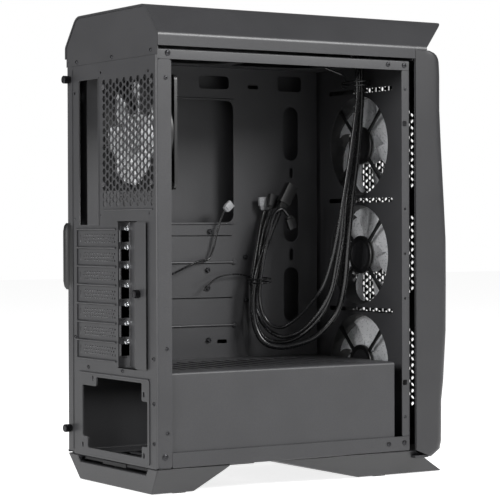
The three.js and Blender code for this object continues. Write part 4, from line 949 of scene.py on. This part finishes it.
for key in ("mic", "phones"):
    metal.append(plate("Z", COVER_Z - 12, top + 0.1, ring(SOCKETS[key], SOCKET_Y, 2.9, 24),
                       ring(SOCKETS[key], SOCKET_Y, 1.8, 24)))
piece("socket_shells", metal, ZINC)
tongues = [block(SOCKETS[key] - 5, SOCKETS[key] + 5, SOCKET_Y + 0.1, SOCKET_Y + 1.6, COVER_Z - 12, top - 1.2)
           for key in ("usb3", "usb2")]
piece("socket_tongues", tongues, BLACK, bevel=0.15)

# %% Buttons
for key, radius in (("power", 6.5), ("reset", 3.0)):
    base, crown = COVER_Z - 6.5, COVER_Z - 0.1
    cap = turned("Z", SOCKETS[key], SOCKET_Y, [
        (radius, base), (radius, crown - 0.8), (radius - 0.25, crown - 0.25), (radius - 0.8, crown),
        (radius * 0.7, crown - 0.15), (radius * 0.4, crown - 0.4), (0.3, crown - 0.5)], 48)
    piece(f"{key}_button_cap", [cap], ABS_FRONT, f"{key}_button", f"{key}_button")

# %% [markdown]
# ## Front panel and its mesh
# The front is a U-shaped moulding that bulges forward in its middle. Its plan, a U with round corners, is
# carried up the height, and the front line moves with the side profile. A black mesh closes the opening.

# %% Front panel
LOW, HIGH = FLOOR_Z - 8.5, BEND_Z - 3.3
HEIGHTS = np.array([LOW, 24, 29, 38, 48, 58, 84, 106, 135, 163, 192, 220, 243, 265, 288, 310, 338, 367,
                    390, 412, 432, 449.9, 458, 466, 470, 473.5, 476, HIGH])
SIDE_Z = [18, 21, 29, 38, 84, 106, 163, 220, 265, 310, 367, 412, 451, 465, 469.5, 473.5, 476.3, 478.1]
SIDE_D = [352.5, 358.5, 370.3, 372.4, 372.8, 375.6, 379.2, 379.6, 379.4, 376.8, 373.1, 370.8, 370.8, 370.2,
          369.2, 366.8, 363.0, 357.5]


def front_line(z):
    """Distance of the panel's front in front of the rear panel, by height: 351 mm below, 378 mm at most."""
    return np.interp(z, SIDE_Z, SIDE_D)


def u_plan(inset, reach):
    """The U in plan for each height: cheeks at +-half, corners of 13 mm, front at its own reach."""
    half, radius = HALF - inset, 13 - inset
    angles = np.linspace(0, math.pi / 2, 9)
    cheek = np.linspace(0, 1, 4)[:, None]
    front = back(reach - inset)[None, :]
    corner_y = front + radius
    rear = back(331)
    left_x = np.full((4, 1), -half) + 0 * front
    left_y = rear + (corner_y - rear) * cheek
    arc_x = -half + radius - radius * np.cos(angles)[:, None] + 0 * front
    arc_y = corner_y - radius * np.sin(angles)[:, None]
    flat = np.array([-80, -66, -40, -14, 14, 40, 66, 80.0])[:, None] + 0 * front
    flat_y = front + 0 * flat
    x = np.vstack([left_x, arc_x[1:], flat, -arc_x[1:][::-1], -left_x])
    y = np.vstack([left_y, arc_y[1:], flat_y, arc_y[1:][::-1], left_y[::-1]])
    return x.T, y.T


def front_sheet(inset):
    """The panel's grid: heights in rows, the U in columns; the lower edge rises towards the rear."""
    x, y = u_plan(inset, front_line(HEIGHTS))
    z = np.broadcast_to(HEIGHTS[:, None], x.shape).copy()
    rise = np.clip((y - back(354)) / (back(331) - back(354)), 0, 1) * 9.3
    z += rise * np.clip((58 - z) / (58 - LOW), 0, 1)
    if inset:
        z = np.where(z < LOW + 12, z + 0.0, z)
    return np.stack([x, y, z], -1)


outer, inner = front_sheet(0), front_sheet(SHELL)
rows, columns = outer.shape[:2]
mid_x = (outer[0, :-1, 0] + outer[0, 1:, 0]) / 2
mid_z = (HEIGHTS[:-1] + HEIGHTS[1:]) / 2
keep = ~((np.abs(mid_x) < 66)[None, :] & ((mid_z > 58) & (mid_z < 449.9))[:, None])
solids = [between(outer.reshape(-1, 3), inner.reshape(-1, 3), grid_faces(rows, columns, keep))]
for row, low_z, high_z in ((rows - 1, HIGH - SHELL, HIGH - 0.02), (0, LOW + 0.02, LOW + SHELL)):
    loop = inner[row, :, :2].copy()
    solids.append(plate("Z", low_z, high_z, loop))
piece("moulded_front_panel", solids, ABS_FRONT, stands_for="front_panel", bevel=0.5,
      smooth=40)

# %% Front mesh
PITCH = 14.7
column_step = PITCH * math.cos(math.pi / 6)


def mesh_holes():
    """Round holes on a triangular lattice and a slot half way to each of three neighbours."""
    made = []
    for k in range(-5, 7):
        x = -3.8 + column_step * k
        if abs(x) > 69:
            continue
        for z in np.arange(58 + 1 + (k % 2) * PITCH / 2, 449.0, PITCH):
            if abs(x) > 50 and min(abs(z - fan) for fan in FRONT_FANS) > 44:
                continue
            made.append(ring(x, z, 3.0, 10))
            for angle in (math.pi / 2, math.pi / 6, -math.pi / 6):
                way = np.array([math.cos(angle), math.sin(angle)])
                side = np.array([-way[1], way[0]])
                spot = np.array([x, z]) + way * PITCH / 2
                if abs(spot[0]) > 68 or not 56 < spot[1] < 451:
                    continue
                made.append(np.array([spot + way * a + side * b for a, b in (
                    (-3.3, -1.1), (-2.4, -1.9), (2.4, -1.9), (3.3, -1.1),
                    (3.3, 1.1), (2.4, 1.9), (-2.4, 1.9), (-3.3, 1.1))]))
    return made


mesh_y = back(358)
# Side walls close the way between the sheet and the bulging front panel.
zs = np.linspace(50, 458, 24)
side_wall = np.vstack([np.column_stack([back(front_line(zs) - SHELL - 0.4), zs]),
                       [(mesh_y, 458), (mesh_y, 50)]])
piece("front_mesh_sheet", [plate("Y", mesh_y - 2, mesh_y, rectangle(-72, 72, 50, 458, 4), *mesh_holes()),
                           plate("X", -72, -70.5, side_wall), plate("X", 70.5, 72, side_wall)],
      BLACK, stands_for="front_mesh")

# %% [markdown]
# ## Fans
# A 120 mm fan is a frame of two square flanges round a duct, with four thin struts to a hub, and a rotor
# of seven wide frosted blades. A blade is a grid over radius and chord that twists as it goes outwards.

# %% Fan frame
def fan_frame(x, z, face, way):
    """Solids of a frame whose strutted side is at Y = face and whose body goes in the given way."""
    far = face + way * 25
    hole_spots = [(x + i * 52.5, z + j * 52.5) for i in (-1, 1) for j in (-1, 1)]
    square = rectangle(x - 60, x + 60, z - 60, z + 60, 6, 5)
    bore = ring(x, z, 57.5, 64)
    solids = []
    for level in (face, far - way * 3.4):
        low, high = sorted((level, level + way * 3.4))
        solids.append(plate("Y", low, high, square, bore, *[ring(u, v, 2.2, 12) for u, v in hole_spots]))
    low, high = sorted((face + way * 3.3, far - way * 3.3))
    solids.append(plate("Y", low, high, ring(x, z, 59.4, 64), bore))
    for u, v in hole_spots:
        solids.append(plate("Y", low, high, ring(u, v, 3.6, 14), ring(u, v, 2.2, 14)))
        sx, sz = math.copysign(1, u - x), math.copysign(1, v - z)
        solids.append(plate("Y", low, high, np.array([
            (u + sx * 1.2, v - sz * 6.5), (u + sx * 2.4, v - sz * 6.5), (u + sx * 2.4, v - sz * 2),
            (u + sx * 1.2, v - sz * 2)])))
    solids.append(turned("Y", x, z, [(21.0, face + way * 4), (22.0, face + way * 3.4), (22.0, face + way * 0.8),
                                     (21.2, face + way * 0.1), (16.8, face + way * 0.1),
                                     (16.5, face + way * 0.5), (0.5, face + way * 0.5)], 40))
    for k in range(4):
        angle = math.pi / 4 + k * math.pi / 2
        along = np.array([math.cos(angle), math.sin(angle)])
        side = np.array([-math.sin(angle), math.cos(angle)])
        middle_spot = np.array([x, z])
        bar = np.array([middle_spot + along * a + side * b for a, b in (
            (20, -1.6), (40, -1.2), (58.5, -2.2), (58.5, 2.2), (40, 1.2), (20, 1.6))])
        low, high = sorted((face + way * 0.4, face + way * 3.4))
        solids.append(plate("Y", low, high, bar))
    return solids


def fan_label(x, z, face, way):
    """A plain ring of foil on the hub."""
    return [turned("Y", x, z, [(16.2, face + way * 0.55), (16.2, face + way * 0.35), (16.0, face + way * 0.3),
                               (7, face + way * 0.3), (0.4, face + way * 0.32)], 40)]


# %% Fan rotor
def fan_rotor(x, z, face, way, hand=1):
    """Hub and blades: chord half angle grows from 20 to 23 degrees, pitch falls from 38 to 24 degrees, and
    the tip trails the root by 16 degrees."""
    start, end = sorted((face + way * 5.2, face + way * 23.5))
    middle_y = (start + end) / 2
    inside_y = face + way * 5.2
    outer_y = face + way * 23.5
    solids = [turned("Y", x, z, [
        (18.2, inside_y), (20.4, inside_y + way * 1.2), (20.5, inside_y + way * 3), (20.5, outer_y - way * 2),
        (19.6, outer_y - way * 0.5), (18.0, outer_y)], 48)]
    radius = np.linspace(19.6, 55.4, 11)[:, None]
    part = (radius - 19.6) / 35.8
    chord = np.linspace(-1, 1, 9)[None, :]
    half_angle = np.radians(19 + 4 * part)
    rise = (5.6 + 0.9 * np.sin(part * math.pi * 0.6))
    for k in range(7):
        centre = 2 * math.pi * k / 7 - np.radians(16) * part ** 1.3 * hand
        angle = centre + chord * half_angle * hand
        y = middle_y + chord * rise * way + 1.1 * (1 - chord ** 2) * way
        reach = radius - 3.5 * part ** 6 * (chord ** 4)
        grid = np.stack([x + reach * np.cos(angle), y + 0 * angle, z + reach * np.sin(angle)], -1)
        thick = 0.75 * (1.15 - 0.5 * part) * (1 - 0.55 * chord ** 2)
        upper, lower = grid.copy(), grid.copy()
        upper[..., 1] += thick
        lower[..., 1] -= thick
        solids.append(between(lower.reshape(-1, 3), upper.reshape(-1, 3), grid_faces(11, 9)))
    return solids


# %% The four fans
REAR_FAN = (LEFT + 62, IO_Z + 158.75 - 62.5)
fans = [(f"front_fan_{i + 1}", f"front_fan_frame_{i + 1}", f"front_fan_rotor_{i + 1}", FAN_X, z, back(326.3), -1)
        for i, z in enumerate(FRONT_FANS)]
fans.append(("rear_fan", "rear_fan_frame", "rear_fan_rotor", *REAR_FAN, back(26.3), 1))
for key, frame_node, rotor_node, x, z, face, way in fans:
    piece(f"{key}_housing", fan_frame(x, z, face, way), BLACK, stands_for=frame_node)
    piece(f"{key}_hub_label", fan_label(x, z, face, way), FOIL)
    # The blades' near-white colour is partly painted light for their reflections and backlight.
    piece(f"{key}_blades", fan_rotor(x, z, face, way), FROSTED_PAINTED_LIGHT, rotor_node, rotor_node,
          smooth=50)
rear_x, rear_z = REAR_FAN
heads = [turned("Y", rear_x + i * 52.5, rear_z + j * 52.5, [
    (3.2, back(0.1)), (3.0, back(-1.0)), (1.9, back(-1.5)), (0.8, back(-0.8))], 16)
    for i in (-1, 1) for j in (-1, 1)]
piece("rear_fan_screws", heads, COAT)

# %% [markdown]
# ## Feet, pads and the dust filter
# Each foot is a hollow moulding with faceted ends, the convex hull of its corner points with its edges
# rounded. The rear one has a mouth through which the dust filter slides out.

# %% Feet
def hull_mesh(points):
    """Convex hull of points in millimetres, as corners and faces, flat facets joined."""
    shape = bmesh.new()
    for point in points:
        shape.verts.new(point)
    made = bmesh.ops.convex_hull(shape, input=shape.verts)
    loose = [item for item in made["geom_interior"] + made["geom_unused"] if isinstance(item, bmesh.types.BMVert)]
    bmesh.ops.delete(shape, geom=list(set(loose)), context="VERTS")
    bmesh.ops.dissolve_limit(shape, angle_limit=0.01, verts=shape.verts, edges=shape.edges)
    shape.verts.ensure_lookup_table()
    shape.verts.index_update()
    corners = np.array([list(v.co) for v in shape.verts])
    faces = [tuple(v.index for v in face.verts) for face in shape.faces]
    shape.free()
    return outward(corners, faces)


def carve(made, cutters):
    """Cuts solids out of a piece and keeps the result as its mesh."""
    for number, (points, faces) in enumerate(cutters):
        data = bpy.data.meshes.new("cutter")
        data.from_pydata((points * MM).tolist(), [], faces)
        tool = bpy.data.objects.new("cutter", data)
        bpy.context.scene.collection.objects.link(tool)
        cut = made.modifiers.new(f"cut_{number}", "BOOLEAN")
        cut.operation = "DIFFERENCE"
        cut.solver = "EXACT"
        cut.object = tool
    bpy.context.view_layer.update()
    graph = bpy.context.evaluated_depsgraph_get()
    result = bpy.data.meshes.new_from_object(made.evaluated_get(graph))
    tools = [cut.object for cut in made.modifiers if cut.type == "BOOLEAN"]
    made.modifiers.clear()
    made.data = result
    for tool in tools:
        bpy.data.objects.remove(tool)
    result.shade_smooth()
    result.set_sharp_from_angle(angle=math.radians(30))
    return made


def round_edges(made, width):
    """Bevels the edges sharper than 20 degrees by a width in millimetres."""
    rounding = made.modifiers.new("edges", "BEVEL")
    rounding.width = width * MM
    rounding.segments = 2
    rounding.limit_method = "ANGLE"
    rounding.angle_limit = math.radians(20)


FOOT_TOP, FOOT_BASE = FLOOR_Z - GAP, 1.0
SOLE = 81.0


def mirrored(points):
    """Corner points (x, distance, z) on one side and their mirror images."""
    return [(side * x, back(d), z) for x, d, z in points for side in (1, -1)]


rear_corners = [(-LEFT, 0, FOOT_TOP), (-LEFT, 90, FOOT_TOP), (SOLE, 4, FOOT_BASE), (SOLE, 55, FOOT_BASE),
                (SOLE - 4, 64, FOOT_BASE + 3)]
rear_foot = piece("moulded_rear_foot", [hull_mesh(mirrored(rear_corners))], ABS_FOOT,
                  stands_for="rear_foot")
mouth = [(s * x, back(d), z) for s in (1, -1) for d in (-5, 150)
         for x, z in ((79, FOOT_TOP + 2), (79, FLOOR_Z - 2.5), (74, FLOOR_Z - 7.6))]
hollow = [(s * x, back(d), z) for s in (1, -1) for d in (8, 46) for x, z in ((79, FOOT_TOP + 1), (76, 6))]
carve(rear_foot, [hull_mesh(mouth), hull_mesh(hollow)])
round_edges(rear_foot, 1.0)
front_corners = [(-LEFT - 6, 146, FOOT_TOP), (-LEFT, 250, FOOT_TOP), (-LEFT, 333, FOOT_TOP),
                 (SOLE, 268, FOOT_BASE), (SOLE, 385, FOOT_BASE)]
front_foot = piece("moulded_front_foot", [hull_mesh(mirrored(front_corners))], ABS_FOOT,
                   stands_for="front_foot")
hollow = [(s * x, back(d), z) for s in (1, -1) for d, x, z in (
    (160, 92, FOOT_TOP + 3), (330, 96, FOOT_TOP + 3), (272, 77, 4), (362, 77, 4))]
carve(front_foot, [hull_mesh(hollow)])
round_edges(front_foot, 1.0)
for name, side, d in (("rear_left", -1, 40), ("rear_right", 1, 40), ("front_left", -1, 300),
                      ("front_right", 1, 300)):
    x = side * (SOLE - 11)
    pad = plate("Z", 0, 1.9, rectangle(x - 8, x + 8, back(d + 8), back(d - 8), 1.5, 3))
    piece(f"rubber_pad_{name}", [pad], RUBBER, stands_for=f"foot_pad_{name}", bevel=0.4)

# %% Dust filter
filter_z = FOOT_TOP - 4.2
windows = [rectangle(x0, x1, back(d + 28), back(d), 2, 3) for d in range(16, 118, 36)
           for x0, x1 in ((-66, -4), (4, 66))]
dust = [plate("Z", filter_z, filter_z + 3, rectangle(-72, 72, back(138), back(5), 3), *windows)]
dust.append(plate("Z", filter_z - 1, filter_z + 3, rectangle(-26, 26, back(5.2), back(3.4), 0.8, 2)))
dust += net_bars(-67, 67, back(125), back(15), filter_z + 1.2, 3.0, 0.4)
piece("dust_filter_net", dust, NYLON, "dust_filter", "dust_filter")

# %% [markdown]
# ## Ties
# Two wire ties hold the leads; their ends stand off to the side. They are thin tubes along smooth routes.

# %% Ties
def tube(points, radius, sides=8, parts=8):
    """Closed tube along a smooth route: rings of radius r in the plane across the route."""
    route = smooth_route(points, parts)
    ways = np.gradient(route, axis=0)
    ways /= np.linalg.norm(ways, axis=1)[:, None]
    side = np.cross(ways, np.array([0.13, 0.31, 0.94]))
    side /= np.linalg.norm(side, axis=1)[:, None]
    up = np.cross(ways, side)
    angles = np.arange(sides) * 2 * math.pi / sides
    points = (route[:, None, :] + radius * (np.cos(angles)[None, :, None] * side[:, None, :]
                                            + np.sin(angles)[None, :, None] * up[:, None, :])).reshape(-1, 3)
    faces = [tuple(face) for face in grid_faces(len(route), sides, around=True)]
    last = (len(route) - 1) * sides
    faces += [tuple(range(sides))[::-1], tuple(range(last, last + sides))]
    return outward(points, faces)


# The lower tie winds round the leads above their plugs and stands off behind; the upper one
# holds the bundle under the top rail.
turns = np.linspace(0, 4 * math.pi, 25)
low_tie = [(54 + 19 * math.cos(t), -36 + 10 * math.sin(t), 214 + 0.35 * k) for k, t in enumerate(turns)]
low_tie += [(66, -12, 226), (66, 14, 222), (62, 34, 208)]
high_tie = [(-24 + 19 * math.cos(t), -118 + 15 * math.sin(t), 440 + 0.35 * k) for k, t in enumerate(turns)]
high_tie += [(-36, -92, 452), (-30, -72, 460)]
for key, points in (("low", low_tie), ("high", high_tie)):
    piece(f"wire_tie_{key}", [tube(points, 0.9)], PVC)

# The cage for drives under the shroud keeps its plain shape, in the coat of the chassis.
for used in bpy.data.objects["drive_cage"].material_slots:
    used.material = COAT

# %% [markdown]
# ## Floor and light
# A plain pale floor and a bright even surrounding, with three soft boxes: a large one behind the rear panel,
# one over the open side that draws the bright line along the cover's bend, and a faint low one that keeps
# the inside from going black.

# %% Stage
FLOOR_GLOW = 0.8     # the floor's own light, so that it shows pale
SEEN_LIGHT = 1.0     # surrounding as it is seen
GIVEN_LIGHT = 0.17   # surrounding as it lights the case


def stage_plate(name, corners, colour):
    """A big plain surface that isn't part of the object."""
    mesh = bpy.data.meshes.new(name)
    mesh.from_pydata(corners, [], [tuple(range(len(corners)))])
    material = bpy.data.materials.new(name)
    material.use_nodes = True
    surface = material.node_tree.nodes["Principled BSDF"]
    surface.inputs["Base Color"].default_value = linear(colour)
    surface.inputs["Roughness"].default_value = 0.9
    surface.inputs["Emission Color"].default_value = (1, 1, 1, 1)
    surface.inputs["Emission Strength"].default_value = FLOOR_GLOW
    mesh.materials.append(material)
    made = bpy.data.objects.new(name, mesh)
    bpy.context.scene.collection.objects.link(made)


stage_plate("pale_floor", [(-8, -8, 0), (8, -8, 0), (8, 8, 0), (-8, 8, 0)], "f4f4f4")
# The floor shows pale and throws no light back on the case.
bpy.data.objects["pale_floor"].visible_diffuse = False
world = bpy.data.worlds.new("studio")
bpy.context.scene.world = world
world.use_nodes = True
# The surrounding is seen white, and lights the case less than it shows, as a far white wall does.
sky = world.node_tree
sky.nodes.clear()
seen = add(sky, "ShaderNodeBackground", {"Color": (1, 1, 1, 1), "Strength": SEEN_LIGHT})
given = add(sky, "ShaderNodeBackground", {"Color": (1, 1, 1, 1), "Strength": GIVEN_LIGHT})
path = add(sky, "ShaderNodeLightPath")
both = add(sky, "ShaderNodeMixShader", {
    0: path.outputs["Is Camera Ray"], 1: given.outputs[0], 2: seen.outputs[0]})
add(sky, "ShaderNodeOutputWorld", {"Surface": both.outputs[0]})
bpy.context.scene.view_settings.view_transform = "Standard"


def softbox(name, spot, aim, width, height, watts):
    """Rectangular area light at a spot, turned to face an aim point, sizes in metres."""
    data = bpy.data.lights.new(name, "AREA")
    data.shape = "RECTANGLE"
    data.size, data.size_y, data.energy = width, height, watts
    made = bpy.data.objects.new(name, data)
    bpy.context.scene.collection.objects.link(made)
    made.location = spot
    made.rotation_euler = (Vector(aim) - Vector(spot)).to_track_quat("-Z", "Y").to_euler()


softbox("rear_key", (-0.7, 2.4, 1.0), (0, 0, 0.25), 1.2, 1.0, 58)
softbox("side_glow", (-1.9, -1.0, 1.5), (0, 0, 0.45), 1.3, 0.8, 60)
softbox("side_fill", (-2.6, 0.2, 0.35), (0, 0, 0.25), 1.0, 0.6, 2.5)
